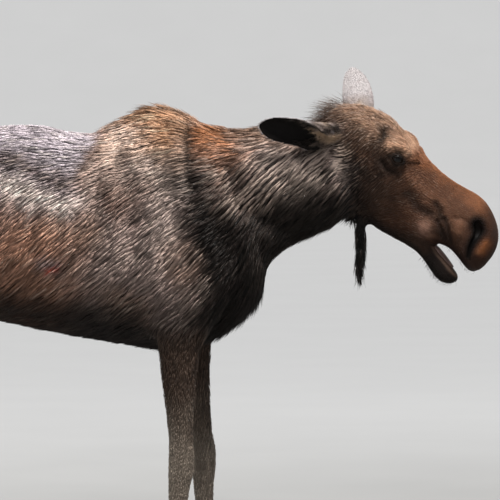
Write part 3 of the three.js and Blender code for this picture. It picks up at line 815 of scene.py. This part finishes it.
def lie_of_coat(skin):
    """The way the hair lies at each point of the skin, as unit vectors along it."""
    x, _, z = skin.points.T
    along, _, up = skin.head.T
    back, down = np.array([-1.0, 0, 0]), np.array([0, 0, -1.0])
    slope = 0.08 + 0.72 * smoothstep(skin.drop, 0.05, 0.30)
    slope = towards(slope, 0.10 + 0.85 * smoothstep(skin.drop, 0.02, 0.16), smoothstep(x, 0.24, 0.40))
    slope = slope * (1 - 0.45 * peak(x, 0.16, 0.09) * fade(skin.drop, 0.3, 0.5))
    rise = (mane_top(x - 0.03) - mane_top(x + 0.03)) / 0.06
    slope = slope - rise * fade(skin.drop, 0.02, 0.12)
    cheek = (fade(along, 220, 400) * fade(up, 40, 110))[:, None]
    face = -AHEAD * (0.95 - 0.75 * cheek) - ABOVE * (0.15 + 0.85 * cheek)
    way = back + slope[:, None] * down
    way = mix(way, 0.5 * back + down, smoothstep(x, 0.26, 0.42) * fade(z, 1.25, 1.5))
    way = mix(way, 0.15 * back + down, skin.legs(0.9, 1.3))
    way = mix(way, 0.3 * back + down, smoothstep(-x, 1.0, 1.2))
    way = mix(way, face, skin.face())
    for ear in EARS:
        way = mix(way, unit(EAR_WAYS[ear][0]), skin.share[ear])
    way = mix(way, down, skin.hanging())
    swirl = np.stack([skin.ripple(0.12, seed) for seed in (41, 42, 43)], axis=1)
    swirl += 0.5 * np.stack([skin.ripple(0.045, seed) for seed in (44, 45, 46)], axis=1)
    return unit(tangent(unit(way) + 0.10 * swirl, skin.normals))


class Coat:
    """Fields over the skin that say how its hair grows: lengths and widths in metres."""

    def __init__(self, skin, colour):
        x, _, z = skin.points.T
        along, _, up = skin.head.T
        drop = skin.drop
        head, ears, hanging, legs = skin.face(), skin.ears(), skin.hanging(), skin.legs(0.95, 1.25)
        mane = ridge_height(skin.points) * (1 - head) * (1 - ears)
        crest = np.exp(-0.5 * np.linalg.norm((skin.points - CREST) / CREST_SIZE, axis=1) ** 2)
        crest = crest * (1 - ears) * smoothstep(skin.normals[:, 2], -0.1, 0.4)
        low = smoothstep(drop, 0.30, 0.55) * smoothstep(x, 0.15, 0.4)
        crown = head * fade(along, 100, 230) * smoothstep(up, 10, 70)
        muzzle = smoothstep(along, 260, 560)
        jaw = fade(along, 60, 260) * fade(up, -40, 40)
        neck = smoothstep(x, 0.30, 0.54)
        nape = smoothstep(x, 0.62, 0.69) * smoothstep(drop, 0.08, 0.15)
        rust = band(x, -1.2, -0.22, 0.14) * smoothstep(drop, 0.26, 0.40)
        hump = band(x, -0.20, 0.17, 0.07) * fade(drop, 0.08, 0.20)
        grizzled = smoothstep(x, 0.10, 0.3) * smoothstep(drop, 0.06, 0.2)
        length = 0.048 + 0.016 * smoothstep(x, -0.1, 0.35) + 0.028 * mane + 0.010 * low
        length = towards(length, 0.016 + 0.016 * smoothstep(z, 0.6, 1.0), legs)
        length = towards(length, 0.0150 - 0.0095 * muzzle + 0.009 * crown + 0.012 * jaw, head)
        length = towards(towards(length, 0.012, ears), 0.050, hanging)
        width = 0.0031 + 0.0002 * mane - 0.0006 * legs - 0.0005 * neck
        width = towards(width, 0.0021 - 0.0007 * muzzle + 0.0006 * jaw, head)
        lift = 0.115 + 0.26 * mane + 0.08 * low + 0.1 * hanging
        lift = towards(towards(lift, 0.15 + 0.22 * crown + 0.03 * jaw, head), 0.12, ears)
        pale = 0.18 + 0.16 * grizzled + 0.32 * neck * (1 - nape) - 0.12 * low - 0.05 * rust
        pale = towards(pale, 0.08 + 0.22 * crown + 0.30 * jaw, head)
        contrast = 0.46 - 0.14 * hump + (0.34 + 0.55 * neck) * grizzled * (1 - head)
        contrast = contrast - 0.18 * head + 0.40 * jaw * head - 0.29 * legs
        roots = 0.20 + 0.15 * hump + 0.33 * head * (1 - jaw) + 0.7 * ears + 0.45 * legs
        self.way = lie_of_coat(skin)
        self.crest = crest
        self.length = towards(length, 0.085, crest)
        self.width = towards(width, 0.0020, ears)
        self.lane = LANE * (1 + 0.6 * neck * (1 - head) * (1 - ears))
        self.lift = towards(lift, 0.78, crest)
        self.colour = colour
        self.pale = np.clip(pale * (1 - 0.5 * mane) * (1 - legs) * (1 - ears), 0, 1)
        self.contrast = contrast * (1 - 0.8 * ears)
        self.roots = np.clip(roots, 0, 0.95)
        self.open = np.where(hairless(skin, head), 0.0, 1 - 0.35 * smoothstep(along, 520, 640) * head)


def hairless(skin, head):
    """The lids' margins, nostrils, lips' insides, roof of the mouth and cups of the ears."""
    along, out, _ = skin.head.T
    is_head, is_jaw = on(skin.owner, "head"), on(skin.owner, "lower_jaw")
    distance, _ = line_distance(skin.head[:, [0, 2]], NOSTRIL_LINE)
    closed = (distance < 12) & (head > 0.5) & (np.abs(out) > 30)
    closed |= is_jaw & (skin.faces_up > 0.3) & (along > 470)
    closed |= is_head & (skin.faces_up < -0.4) & (along > 480)
    for side in EYES:
        spots = eye_spots(skin.head, side)
        near = (np.hypot(spots[:, 0], spots[:, 1]) < 50) & (np.abs(spots[:, 2]) < 60)
        closed |= near & (almond(spots) < 1.35)
    for ear in EARS:
        closed |= on(skin.owner, ear) & (ear_place(skin, ear)[2] > 0.5)
    return closed


TUFT_FACES = np.array([[0, 1, 3], [0, 3, 2], [0, 2, 1], [4, 3, 1], [4, 2, 3], [4, 1, 2]])
TUFT_PATCH = np.array([[0.5, 0.0], [0.15, 0.5], [0.85, 0.5], [0.5, 0.5], [0.5, 1.0]]) - 0.5
PATCH = 0.003
TUFTS_IN_FIELD = 450  # tufts whose locks lie parallel
LANE = 2.1  # a lock's width in tuft widths, more on the neck
STRIP = 1.1  # its length, in tuft lengths
CREST = np.array([0.675, 0.0, 1.84])  # the long hair that stands up behind the ears
CREST_SIZE = np.array([0.034, 0.045, 0.06])


def tuft_weight(skin, coat, chosen):
    """How many tufts each chosen triangle needs, against the others."""
    corners = skin.triangles[chosen]
    spacing = coat.length[corners].mean(axis=1) * coat.width[corners].mean(axis=1)
    return skin.areas[chosen] * coat.open[corners].min(axis=1) / np.maximum(spacing, 1e-5) ** 0.8


def place_tufts(skin, coat, chosen, count):
    """Points spread evenly over the chosen triangles, as triangle numbers and shares of corners."""
    corners = skin.triangles[chosen]
    reach = np.cumsum(tuft_weight(skin, coat, chosen))
    picks = (np.arange(count) + random.uniform(0, 1, count)) * reach[-1] / count
    found = np.minimum(np.searchsorted(reach, picks), len(corners) - 1)
    first, second = random.uniform(size=(2, count))
    flip = first + second > 1
    first, second = np.where(flip, 1 - first, first), np.where(flip, 1 - second, second)
    return corners[found], np.stack([1 - first - second, first, second], axis=1)


def spread(values, corners, shares):
    if values.ndim == 1:
        return np.sum(values[corners] * shares, axis=1)
    return np.sum(values[corners] * shares[:, :, None], axis=1)


def locks(root, way, normal, lane_widths, length):
    """Locks are strips along the lie of the coat: each tuft's lock, and the way across to its middle line."""
    middles = np.sort(random.choice(len(root), len(root) // TUFTS_IN_FIELD + 1, replace=False))
    tree = KDTree(len(middles))
    for index, point in enumerate(root[middles].tolist()):
        tree.insert(point, index)
    tree.balance()
    field = middles[[tree.find(point)[1] for point in root.tolist()]]
    offset = root - root[field]
    lane_width = lane_widths[field]
    place = np.sum(offset * np.cross(normal[field], way[field]), axis=1) / lane_width
    place = place + 0.35 * ripple(root, 0.05, 51)
    lane = np.round(place)
    stagger = np.sin(field * 12.9898 + lane * 78.233) * 43.7585 % 1
    strip = np.floor(np.sum(offset * way[field], axis=1) / (STRIP * length[field]) + stagger)
    lock = np.unique(np.stack([field, lane, strip], axis=1), axis=0, return_inverse=True)[1].ravel()
    return lock, (lane - place) * lane_width, np.where(lane % 2, -1, 1)


def lay_tufts(skin, coat, corners, shares):
    """Points and colours of each tuft: root, left, right, ridge and tip."""
    count = len(corners)
    root = spread(skin.points, corners, shares)
    normal = unit(spread(skin.normals, corners, shares))
    way = unit(tangent(spread(coat.way, corners, shares), normal))
    fields = (coat.length, coat.width, coat.lane, coat.lift)
    length, width, lane, lift = (spread(values, corners, shares) for values in fields)
    lock, gather, over = locks(root, way, normal, width * lane, length)
    shared = random.normal(0, 1, (3, count))[:, lock]
    length = length * random.uniform(0.72, 1.2, count) * (1 + 0.08 * shared[0])
    width = width * random.uniform(0.7, 1.25, count)
    lift = lift * np.clip(random.uniform(0.6, 1.4, count) + 0.3 * shared[1] + 0.2 * over, 0.3, 2.2)
    turn = (random.normal(0, 0.035, count) + 0.045 * shared[2])[:, None]
    way = way * np.cos(turn) + np.cross(normal, way) * np.sin(turn)
    across = np.cross(normal, way)
    gather = across * np.clip(gather, -0.25 * length, 0.25 * length)[:, None]
    line = (way * np.cos(lift)[:, None] + normal * np.sin(lift)[:, None]) * length[:, None]
    belly = root + line * 0.42 + normal * (width * 0.16 + length * 0.02)[:, None] + gather * 0.6
    bend = across * (random.normal(0, 0.025, count) * length)[:, None] + gather
    tip = root + line + bend - normal * (length * 0.5 * lift * np.minimum(lift, 0.6))[:, None]
    tip[:, 2] -= 0.06 * length
    half = across * (width / 2)[:, None]
    ridge = belly + normal * (width * 0.42)[:, None]
    points = np.stack([root - normal * 0.0012, belly + half, belly - half, ridge, tip], axis=1)
    return points, tuft_colours(coat, corners, shares, lock, over)


def tuft_colours(coat, corners, shares, lock, over):
    """Colours of a tuft's five points: dark at its root, its sides darker as painted shade, pale-tipped in
    some locks.
    """
    count = len(corners)
    fields = (coat.colour, coat.pale, coat.contrast, coat.roots)
    base, pale, contrast, roots = (spread(values, corners, shares) for values in fields)
    shift = 0.35 * random.normal(-0.15, 1, count) + 0.75 * random.normal(-0.2, 1, count)[lock] + 0.6 * over
    body = base * np.exp(contrast * np.minimum(shift, 0.9))[:, None]
    light = 0.15 * random.uniform(size=count) + 0.5 * random.uniform(size=count)[lock] + 0.175 * (1 + over)
    ends = np.clip((light - (1 - pale)) * 4 + 0.4, 0, 0.8) * (light > 1 - pale - 0.1)
    bright = np.minimum(base.max(axis=1, keepdims=True) ** 1.5 * 18, 0.62)
    pale_colour = 0.6 * linear(*BEIGE) * np.minimum(1, bright / 0.5) + 0.4 * np.minimum(base * 2.2, 0.8)
    pale_colour = pale_colour * (0.72 + 0.5 * contrast)[:, None]
    # Painted shade along the tuft's sides, deeper where the coat's contrast is higher.
    shade = np.clip(1 - 0.65 * contrast, 0.35, 1)[:, None]
    sides = mix(body * shade, pale_colour * (0.3 + 0.6 * shade), 0.5 * ends)
    ridge, tips = mix(body, pale_colour, 0.7 * ends), mix(body * 1.08, pale_colour, ends)
    return np.clip(np.stack([body * roots[:, None], sides, sides, ridge, tips], axis=1), 0, 0.9)


def coat_piece(name, skin, coat, chosen, count, unwrap):
    """The tufts over the chosen triangles as one piece."""
    corners, shares = place_tufts(skin, coat, chosen, count)
    points, colours = lay_tufts(skin, coat, corners, shares)
    return tuft_mesh(name, points, colours, unwrap(spread(skin.points, corners, shares)))


def paint(mesh, colour):
    layer = mesh.attributes.new("coat_colour", "FLOAT_COLOR", "POINT")
    full = np.concatenate([colour, np.ones((len(colour), 1))], axis=1)
    layer.data.foreach_set("color", full.astype(np.float32).ravel())


def tuft_mesh(name, points, colours, places):
    """All the tufts of a piece as one mesh, each with its patch in the bake's map."""
    count = len(points)
    faces = (TUFT_FACES[None] + 5 * np.arange(count)[:, None, None]).reshape(-1, 3)
    piece = triangle_object(name, points.reshape(-1, 3), faces)
    paint(piece.data, colours.reshape(-1, 3))
    low, high = places.min(axis=0), places.max(axis=0)
    places = PATCH + (places - low) / (high - low) * (1 - 2 * PATCH)
    patches = places[:, None, :] + TUFT_PATCH[None] * PATCH
    layer = piece.data.uv_layers.new(name="OFBake")
    layer.data.foreach_set("uv", patches.reshape(-1, 2)[faces.ravel()].astype(np.float32).ravel())
    return piece


# Single stiff hairs: where they stand (0 to 1 over the skin), how many, their size, way, lift and colour.
Bristle = namedtuple("Bristle", "where count length width way lift colour")


def bristle_kinds(skin, coat):
    """Each kind of bristle, in the order in which they are laid."""
    along, out, _ = skin.head.T
    sideways = ASIDE * np.sign(out)[:, None]
    lash = np.zeros(len(along))
    for side in EYES:
        spots = eye_spots(skin.head, side)
        t = almond(spots)
        lash += (t > 1.0) & (t < 1.22) & (spots[:, 1] > 3) & (np.abs(spots[:, 2]) < 40)
    lip = near_line(skin.head[:, [0, 2]], [(520, -50), (575, -85), (640, -95)], 20) * on(skin.owner, "head")
    chin = on(skin.owner, "lower_jaw") * smoothstep(along, 470, 540) * fade(skin.faces_up, 0.0, 0.4)
    hem = on(skin.owner, *LEGS) * fade(skin.points[:, 2], 0.085, 0.11)
    kinds = [
        Bristle(lash, 150, 0.017, 0.0008, AHEAD * 0.5 - ABOVE * 0.25 + sideways, 0.9, (14, 10, 9)),
        Bristle(lip, 170, 0.020, 0.0006, -ABOVE + 0.3 * sideways, 0.6, (60, 44, 36)),
        Bristle(chin, 170, 0.026, 0.0007, -ABOVE - 0.2 * AHEAD, 0.6, (30, 22, 19)),
        Bristle(hem, 2400, 0.030, 0.0018, np.array([0.12, 0, -1.0]), 0.22, (74, 61, 52)),
        Bristle(coat.crest, 420, 0.088, 0.0013, np.array([-1.0, 0, 0.2]), 0.75, (92, 80, 73)),
    ]
    for ear in EARS:
        share, facing, inside, _ = ear_place(skin, ear)
        own = on(skin.owner, ear) * smoothstep(share, 0.05, 0.2) * fade(share, 0.75, 0.95)
        margin, depth = own * band(inside, 0.1, 0.9, 0.1), own * (inside > 0.9) * (facing < 0.8)
        tip, mouth = (unit(way) for way in EAR_WAYS[ear])
        kinds.append(Bristle(margin, 420, 0.022, 0.0011, tip + 0.3 * mouth, 0.3, (86, 75, 68)))
        kinds.append(Bristle(depth, 260, 0.022, 0.0009, tip + 0.2 * mouth, 0.3, (44, 38, 34)))
    return kinds


def bristles(skin, coat):
    """Lashes, whiskers, crest, the hem over the hooves and the hair of the ears, as one piece."""
    points, colours, roots = [], [], []
    for kind in bristle_kinds(skin, coat):
        reach = np.cumsum(skin.areas * kind.where[skin.triangles].min(axis=1))
        found = np.searchsorted(reach, random.uniform(0, reach[-1], kind.count))
        corners = skin.triangles[np.minimum(found, len(reach) - 1)]
        shares = random.dirichlet((1, 1, 1), kind.count)
        root = spread(skin.points, corners, shares)
        normal = unit(spread(skin.normals, corners, shares))
        way = spread(np.broadcast_to(kind.way, skin.points.shape), corners, shares)
        way = unit(unit(tangent(way, normal)) + random.normal(0, 0.16, (kind.count, 3)))
        lift = kind.lift * random.uniform(0.7, 1.3, (kind.count, 1))
        long = kind.length * random.uniform(0.55, 1.15, (kind.count, 1))
        line = way * np.cos(lift) + normal * np.sin(lift)
        belly = root + line * long * 0.5
        tip = belly + unit(line + 0.35 * way - [0, 0, 0.2]) * long * 0.5
        half = unit(np.cross(normal, way)) * kind.width / 2
        ridge = belly + normal * kind.width * 0.5
        points.append(np.stack([root - normal * 0.001, belly + half, belly - half, ridge, tip], axis=1))
        tone = np.exp(random.normal(0, 0.3, (kind.count, 1, 1)))
        colours.append(np.clip(linear(*kind.colour) * tone * np.ones((1, 5, 1)), 0, 0.9))
        roots.append(root)
    places = around_head(np.concatenate(roots))
    return tuft_mesh("coat_bristles", np.concatenate(points), np.concatenate(colours), places)


# ------------------------------------------------------------------ materials


class Nodes:
    """A material's nodes, added and linked in one call each."""

    def __init__(self, name):
        self.material = bpy.data.materials.new(name)
        self.material.use_nodes = True
        self.tree = self.material.node_tree
        self.shader = self.tree.nodes["Principled BSDF"]
        self.where = self.add("ShaderNodeTexCoord").outputs["Object"]

    def add(self, kind, inputs=None, **settings):
        node = self.tree.nodes.new(kind)
        for name, value in settings.items():
            setattr(node, name, value)
        for name, value in (inputs or {}).items():
            self.feed(node, name, value)
        return node

    def feed(self, node, name, value):
        if isinstance(value, bpy.types.NodeSocket):
            self.tree.links.new(value, node.inputs[name])
        else:
            node.inputs[name].default_value = value

    def set(self, **inputs):
        for name, value in inputs.items():
            self.feed(self.shader, name.replace("_", " "), value)
        return self.material

    def attribute(self, name, output="Color"):
        return self.add("ShaderNodeAttribute", attribute_name=name).outputs[output]

    def mapping(self, where, vector_type="POINT", **inputs):
        node = self.add("ShaderNodeMapping", {"Vector": where, **inputs}, vector_type=vector_type)
        return node.outputs["Vector"]

    def noise(self, scale, detail, where=None):
        inputs = {"Scale": scale, "Detail": detail, "Vector": self.where if where is None else where}
        return self.add("ShaderNodeTexNoise", inputs).outputs["Fac"]

    def ramp(self, value, *stops):
        node = self.add("ShaderNodeValToRGB", {"Fac": value})
        elements = node.color_ramp.elements
        while len(elements) < len(stops):
            elements.new(0.5)
        for element, (place, colour) in zip(elements, stops):
            element.position = place
            element.color = (*colour, 1)
        return node.outputs["Color"]

    def greys(self, value, dark, pale, low=0.3, high=0.7):
        """A grey that goes from dark to pale as the value goes from low to high."""
        return self.ramp(value, (low, (dark, dark, dark)), (high, (pale, pale, pale)))

    def multiply(self, colour, other, share):
        inputs = {"Fac": share, "Color1": colour, "Color2": other}
        return self.add("ShaderNodeMixRGB", inputs, blend_type="MULTIPLY").outputs["Color"]

    def bump(self, height, strength, distance):
        inputs = {"Height": height, "Strength": strength, "Distance": distance}
        return self.add("ShaderNodeBump", inputs).outputs["Normal"]


def coat_material():
    nodes = Nodes("coat")
    tone = nodes.greys(nodes.noise(420, 2), 0.72, 1.0)
    colour = nodes.multiply(nodes.attribute("coat_colour"), tone, 0.8)
    return nodes.set(Base_Color=colour, Roughness=0.5, Specular_IOR_Level=0.2)


def skin_material():
    nodes = Nodes("skin")
    turned = nodes.mapping(nodes.where, "TEXTURE", Rotation=(0, HEAD_PITCH, -HEAD_YAW))
    hairs = nodes.noise(1.0, 5, nodes.mapping(turned, Scale=(70, 420, 420)))
    pores = nodes.noise(260, 6)
    height = nodes.add("ShaderNodeMath", {0: hairs, 1: pores}, operation="ADD").outputs["Value"]
    return nodes.set(
        Base_Color=nodes.multiply(nodes.attribute("coat_colour"), nodes.greys(hairs, 0.55, 1.0), 0.75),
        Roughness=nodes.greys(pores, 0.55, 0.72),
        Normal=nodes.bump(height, 0.5, 0.0012),
        Specular_IOR_Level=0.08,
    )


def horn_material():
    nodes = Nodes("horn")
    growth = nodes.noise(1.0, 3, nodes.mapping(nodes.where, Scale=(60, 60, 420)))
    wear = nodes.noise(90, 5)
    stops = (0.25, linear(30, 26, 24)), (0.6, linear(58, 50, 45)), (0.8, linear(84, 74, 66))
    return nodes.set(
        Base_Color=nodes.multiply(nodes.ramp(growth, *stops), nodes.greys(wear, 0.5, 1.0), 0.8),
        Roughness=nodes.greys(wear, 0.38, 0.62, 0.2, 0.8),
        Normal=nodes.bump(growth, 0.5, 0.0008),
        Specular_IOR_Level=0.4,
    )


def tongue_material():
    nodes = Nodes("tongue")
    blotch = nodes.noise(45, 5)
    buds = nodes.add("ShaderNodeTexVoronoi", {"Vector": nodes.where, "Scale": 520.0}).outputs["Distance"]
    return nodes.set(
        Base_Color=nodes.ramp(blotch, (0.3, linear(84, 64, 60)), (0.7, linear(124, 98, 92))),
        Roughness=nodes.greys(blotch, 0.32, 0.5),
        Normal=nodes.bump(buds, 0.35, 0.0008),
        Specular_IOR_Level=0.5,
    )


def eye_material():
    """Pupil, iris and white by how far a point lies from the middle of the gaze."""
    nodes = Nodes("eye")
    colour = nodes.ramp(
        nodes.attribute("gaze", "Fac"),
        (0.0, linear(4, 3, 3)),
        (0.36, linear(5, 4, 4)),
        (0.44, linear(34, 20, 12)),
        (0.62, linear(20, 12, 9)),
        (0.72, linear(8, 6, 5)),
        (1.0, linear(60, 44, 38)),
    )
    return nodes.set(
        Base_Color=nodes.multiply(colour, nodes.greys(nodes.noise(700, 4), 0.6, 1.0), 0.8),
        Roughness=0.1,
        Specular_IOR_Level=0.06,
        Coat_Weight=0.3,
        Coat_Roughness=0.03,
    )


def floor_material():
    """Matt grey that glows a little towards its far edge, so that the wall stays pale."""
    nodes = Nodes("floor")
    apart = nodes.add("ShaderNodeVectorMath", {0: nodes.where}, operation="LENGTH").outputs["Value"]
    inputs = {"Value": apart, "From Min": 1.5, "From Max": 11.0, "To Max": 0.48}
    glow = nodes.add("ShaderNodeMapRange", inputs, interpolation_type="SMOOTHSTEP")
    stops = (0.3, linear(146, 146, 145)), (0.7, linear(151, 151, 150))
    return nodes.set(
        Base_Color=nodes.ramp(nodes.noise(1.2, 3), *stops),
        Roughness=0.85,
        Specular_IOR_Level=0.1,
        Emission_Color=(1.0, 1.0, 1.0, 1.0),
        Emission_Strength=glow.outputs["Result"],
    )


# ------------------------------------------------------------------ eyes, tongue and hooves


def eye_piece(side, name):
    """A ball with a slight bulge of the cornea; `gaze` grows from the pupil outwards."""
    shape = bmesh.new()
    bmesh.ops.create_uvsphere(shape, u_segments=64, v_segments=40, radius=EYE_RADIUS / 1000)
    mesh = bpy.data.meshes.new(name)
    shape.to_mesh(mesh)
    shape.free()
    points = mesh_points(mesh)
    ways = unit(points)
    out = GAZE[side] @ np.stack([AHEAD, ASIDE, ABOVE])
    angle = np.arccos(np.clip(ways @ out, -1, 1))
    set_points(mesh, points * (1 + 0.05 * peak(angle, 0, 0.5))[:, None] + EYES[side])
    # The pupil lies level: it is wider than it is high.
    across = unit(np.cross(out, [0, 0, 1.0]))
    gaze = np.hypot(ways @ across / 1.5, ways @ np.cross(across, out) / 0.95)
    store(mesh, "gaze", np.where(ways @ out > 0, np.clip(gaze, 0, 1), 1.0))
    return placed(name, mesh)


def rounded(name, nodes, voxel, rounds):
    """CAD solids remeshed finely and smoothed, as one piece."""
    mesh = remeshed(*joined(nodes), voxel)
    near = Neighbours(mesh_edges(mesh), len(mesh.vertices))
    set_points(mesh, near.smooth(mesh_points(mesh), rounds))
    return placed(name, mesh)


def slope_heel(mesh, top):
    """Leans the back of the hooves forward towards their top, below the dewclaws."""
    points = mesh_points(mesh)
    x, z = points[:, 0], points[:, 2]
    low = x[z < 0.03]
    heel = fade(x, low.min(), low.min() + 0.6 * (low.max() - low.min()))
    points[:, 0] = x + 0.28 * heel * np.clip(z - 0.015, 0, 0.08) * (z < top)
    set_points(mesh, points)


def finish_piece(piece, material, slot, *nodes):
    piece.data.materials.clear()
    piece.data.materials.append(material)
    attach(piece, "root")
    if nodes:
        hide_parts(*nodes)


# ------------------------------------------------------------------ the moose

SKIN_TRIANGLES = 185000
HOOF_VOXEL, HOOF_ROUNDS = 0.003, 16
TONGUE_VOXEL, TONGUE_ROUNDS = 0.002, 12


def thin_out(mesh, keep):
    """Fewer triangles where the skin is plain, none fewer where `keep` is 1."""
    body = placed("skin_dense", mesh)
    group = body.vertex_groups.new(name="plain")
    for level in range(1, 11):
        members = np.flatnonzero(np.round((1 - keep) * 10) == level)
        if len(members):
            group.add(members.tolist(), level / 10, "REPLACE")
    ratio = SKIN_TRIANGLES / len(mesh_triangles(mesh))
    return with_modifier(body, "DECIMATE", ratio=ratio, vertex_group="plain", use_collapse_triangulate=True)


def undercoat_and_shade(colour, head, ears, legs):
    """The skin between the tufts is darker than they are, partly its own dark colour, partly painted shade
    under the hair, least where the hair is short.
    """
    return colour * (0.20 + 0.52 * head + 0.2 * ears + 0.32 * legs)[:, None]


skin_mesh = make_skin()
sculpt(skin_mesh)
skin = Skin(skin_mesh)
colour = markings(skin)
short_haired = np.clip(skin.face() + skin.ears(), 0, 1)
paint(skin_mesh, undercoat_and_shade(colour, short_haired, skin.ears(), skin.legs(0.95, 1.25)))
coat = Coat(skin, colour)

centre = skin.points[skin.triangles].mean(axis=1)
owner = skin.owner[skin.triangles[:, 0]]
is_leg, is_head = on(owner, *LEGS), on(owner, "head", "lower_jaw", *EARS)
is_neck = on(owner, "neck", "bell")
is_trunk = ~(is_leg | is_head | is_neck)
right, head_right = centre[:, 1] < 0, to_head(centre)[:, 1] < 0
shoulder, rump = centre[:, 0] >= -0.08, centre[:, 0] < -0.5


def around_body(points):
    """Unwrapped lengthwise and around the body's axis."""
    axis = np.interp(points[:, 0], [-1.2, -0.6, 0.1, 0.6, 0.8], [1.4, 1.4, 1.4, 1.6, 1.65])
    return np.stack([points[:, 0], np.arctan2(points[:, 2] - axis, np.abs(points[:, 1]))], axis=1)


def around_head(points):
    """Unwrapped lengthwise and around the head's axis, the ears a little apart."""
    along, out, up = to_head(points).T
    return np.stack([along - 40 * (along < -60), np.arctan2(up + 40, out)], axis=1)


def around_legs(points):
    """Unwrapped around each leg's axis and upwards, the four side by side."""
    apart = points[:, None, :2] - np.array([middle(leg) for leg in LEGS])[:, :2]
    which = np.argmin(np.linalg.norm(apart, axis=2), axis=1)
    out = apart[np.arange(len(points)), which]
    return np.stack([np.arctan2(out[:, 1], out[:, 0]) + 7 * which, points[:, 2]], axis=1)


# Each piece of the coat: its triangles, its tufts for the weight of these and its unwrapping.
PIECES = [
    ("coat_rump_right", is_trunk & right & rump, 42, around_body),
    ("coat_flank_right", is_trunk & right & ~rump & ~shoulder, 53, around_body),
    ("coat_shoulder_right", is_trunk & right & shoulder, 53, around_body),
    ("coat_rump_left", is_trunk & ~right & rump, 36, around_body),
    ("coat_flank_left", is_trunk & ~right & ~rump & ~shoulder, 40, around_body),
    ("coat_shoulder_left", is_trunk & ~right & shoulder, 40, around_body),
    ("coat_neck_right", is_neck & right, 74, around_body),
    ("coat_neck_left", is_neck & ~right, 52, around_body),
    ("coat_head_right", is_head & head_right, 21, around_head),
    ("coat_head_left", is_head & ~head_right, 17, around_head),
    ("coat_legs_front", is_leg & (centre[:, 0] > -0.4), 10, around_legs),
    ("coat_legs_hind", is_leg & (centre[:, 0] <= -0.4), 8.8, around_legs),
]
MOST_TUFTS = 33000

hair = coat_material()
for name, chosen, density, unwrap in PIECES:
    chosen = np.flatnonzero(chosen)
    count = min(int(tuft_weight(skin, coat, chosen).sum() * density), MOST_TUFTS)
    finish_piece(coat_piece(name, skin, coat, chosen, count, unwrap), hair, "coat")
finish_piece(bristles(skin, coat), hair, "coat")

face = (skin.share["head"] > 0.5) & (skin.head[:, 0] > 150)
keep = skin.near.smooth(face.astype(float), 6)
thin = thin_out(skin_mesh, np.maximum(keep, 0.55 * short_haired))
finish_piece(placed("skin", thin), skin_material(), "coat", *FLESH)

eye_look = eye_material()
for side, name in ((1, "eye_left"), (-1, "eye_right")):
    finish_piece(eye_piece(side, "ball_" + name), eye_look, "eye", name)

horn = horn_material()
for leg in LEGS:
    nodes = [node for node in HOOVES if node.startswith(leg)]
    hoof = rounded("hoof_" + leg, nodes, HOOF_VOXEL, HOOF_ROUNDS)
    slope_heel(hoof.data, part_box(leg + "_outer_hoof")[1][2] + 0.002)
    finish_piece(hoof, horn, "horn", *nodes)
tongue = rounded("tongue_blade", ["tongue"], TONGUE_VOXEL, TONGUE_ROUNDS)
finish_piece(tongue, tongue_material(), "tongue", "tongue")

# ------------------------------------------------------------------ floor, light and camera

TARGET = Vector((0.37985, -0.1, 1.3455))
VIEW_WIDTH = 1.75
DISTANCE = 16.0
ELEVATION = 2.5
FLOOR_STEPS = 96
LIGHTS = [  # name, place, aim, size, power and colour
    ("key", (1.3, -2.6, 7.6), (0.1, 0, 1.3), 2.0, 1150, (1.0, 0.97, 0.93)),
    ("fill", (-5.5, -6.5, 3.2), (0, 0, 1.2), 4.0, 60, (0.92, 0.96, 1.0)),
    ("back", (-2.5, 6.5, 5.5), (0, 0, 1.4), 3.5, 250, (1.0, 1.0, 1.0)),
]


def floor_piece():
    """A wide pale floor that curves up into a wall far behind whatever looks at it."""
    curve = np.linspace(0.1, np.pi / 2, 12)
    radii = [6.0, 20.0, 45.0, *(45 + 12 * np.sin(curve)), 57.0]
    heights = [0.0, 0.0, 0.0, *(12 - 12 * np.cos(curve)), 30.0]
    angles = np.linspace(0, 2 * np.pi, FLOOR_STEPS, endpoint=False)
    circle = np.stack([np.cos(angles), np.sin(angles), 0 * angles], axis=1)
    rings = [circle * radius + [0, 0, height] for radius, height in zip(radii, heights)]
    points = np.concatenate([[[0, 0, 0]], *rings])
    turns = [(j, (j + 1) % FLOOR_STEPS) for j in range(FLOOR_STEPS)]
    faces = [(0, 1 + here, 1 + there) for here, there in turns]
    for inner in range(1, len(points) - FLOOR_STEPS, FLOOR_STEPS):
        outer = inner + FLOOR_STEPS
        faces += [(inner + here, outer + here, outer + there, inner + there) for here, there in turns]
    mesh = bpy.data.meshes.new("floor")
    mesh.from_pydata(points.tolist(), [], faces)
    mesh.materials.append(floor_material())
    return placed("floor", mesh)


def aimed(name, data, place, aim):
    """Adds a light or a camera that looks from its place at the aim."""
    piece = bpy.data.objects.new(name, data)
    piece.location = place
    piece.rotation_euler = (Vector(aim) - Vector(place)).to_track_quat("-Z", "Y").to_euler()
    bpy.context.scene.collection.objects.link(piece)
    return piece


floor_piece()
for name, place, aim, size, power, tint in LIGHTS:
    light = bpy.data.lights.new(name, "AREA")
    light.shape, light.size, light.energy, light.color = "DISK", size, power, tint
    aimed(name, light, place, aim)

world = bpy.data.worlds.new("studio")
bpy.context.scene.world = world
world.use_nodes = True
sky = world.node_tree.nodes["Background"].inputs
sky["Color"].default_value = (0.92, 0.94, 0.96, 1)
sky["Strength"].default_value = 0.34
bpy.context.scene.view_settings.view_transform = "Standard"

camera = bpy.data.cameras.new("camera")
camera.sensor_width = 36
camera.lens = 36 * DISTANCE / VIEW_WIDTH
camera.clip_end = 400
tilt = np.radians(ELEVATION)
eye = TARGET + Vector((0, -np.cos(tilt), np.sin(tilt))) * DISTANCE
bpy.context.scene.camera = aimed("camera", camera, eye, TARGET)
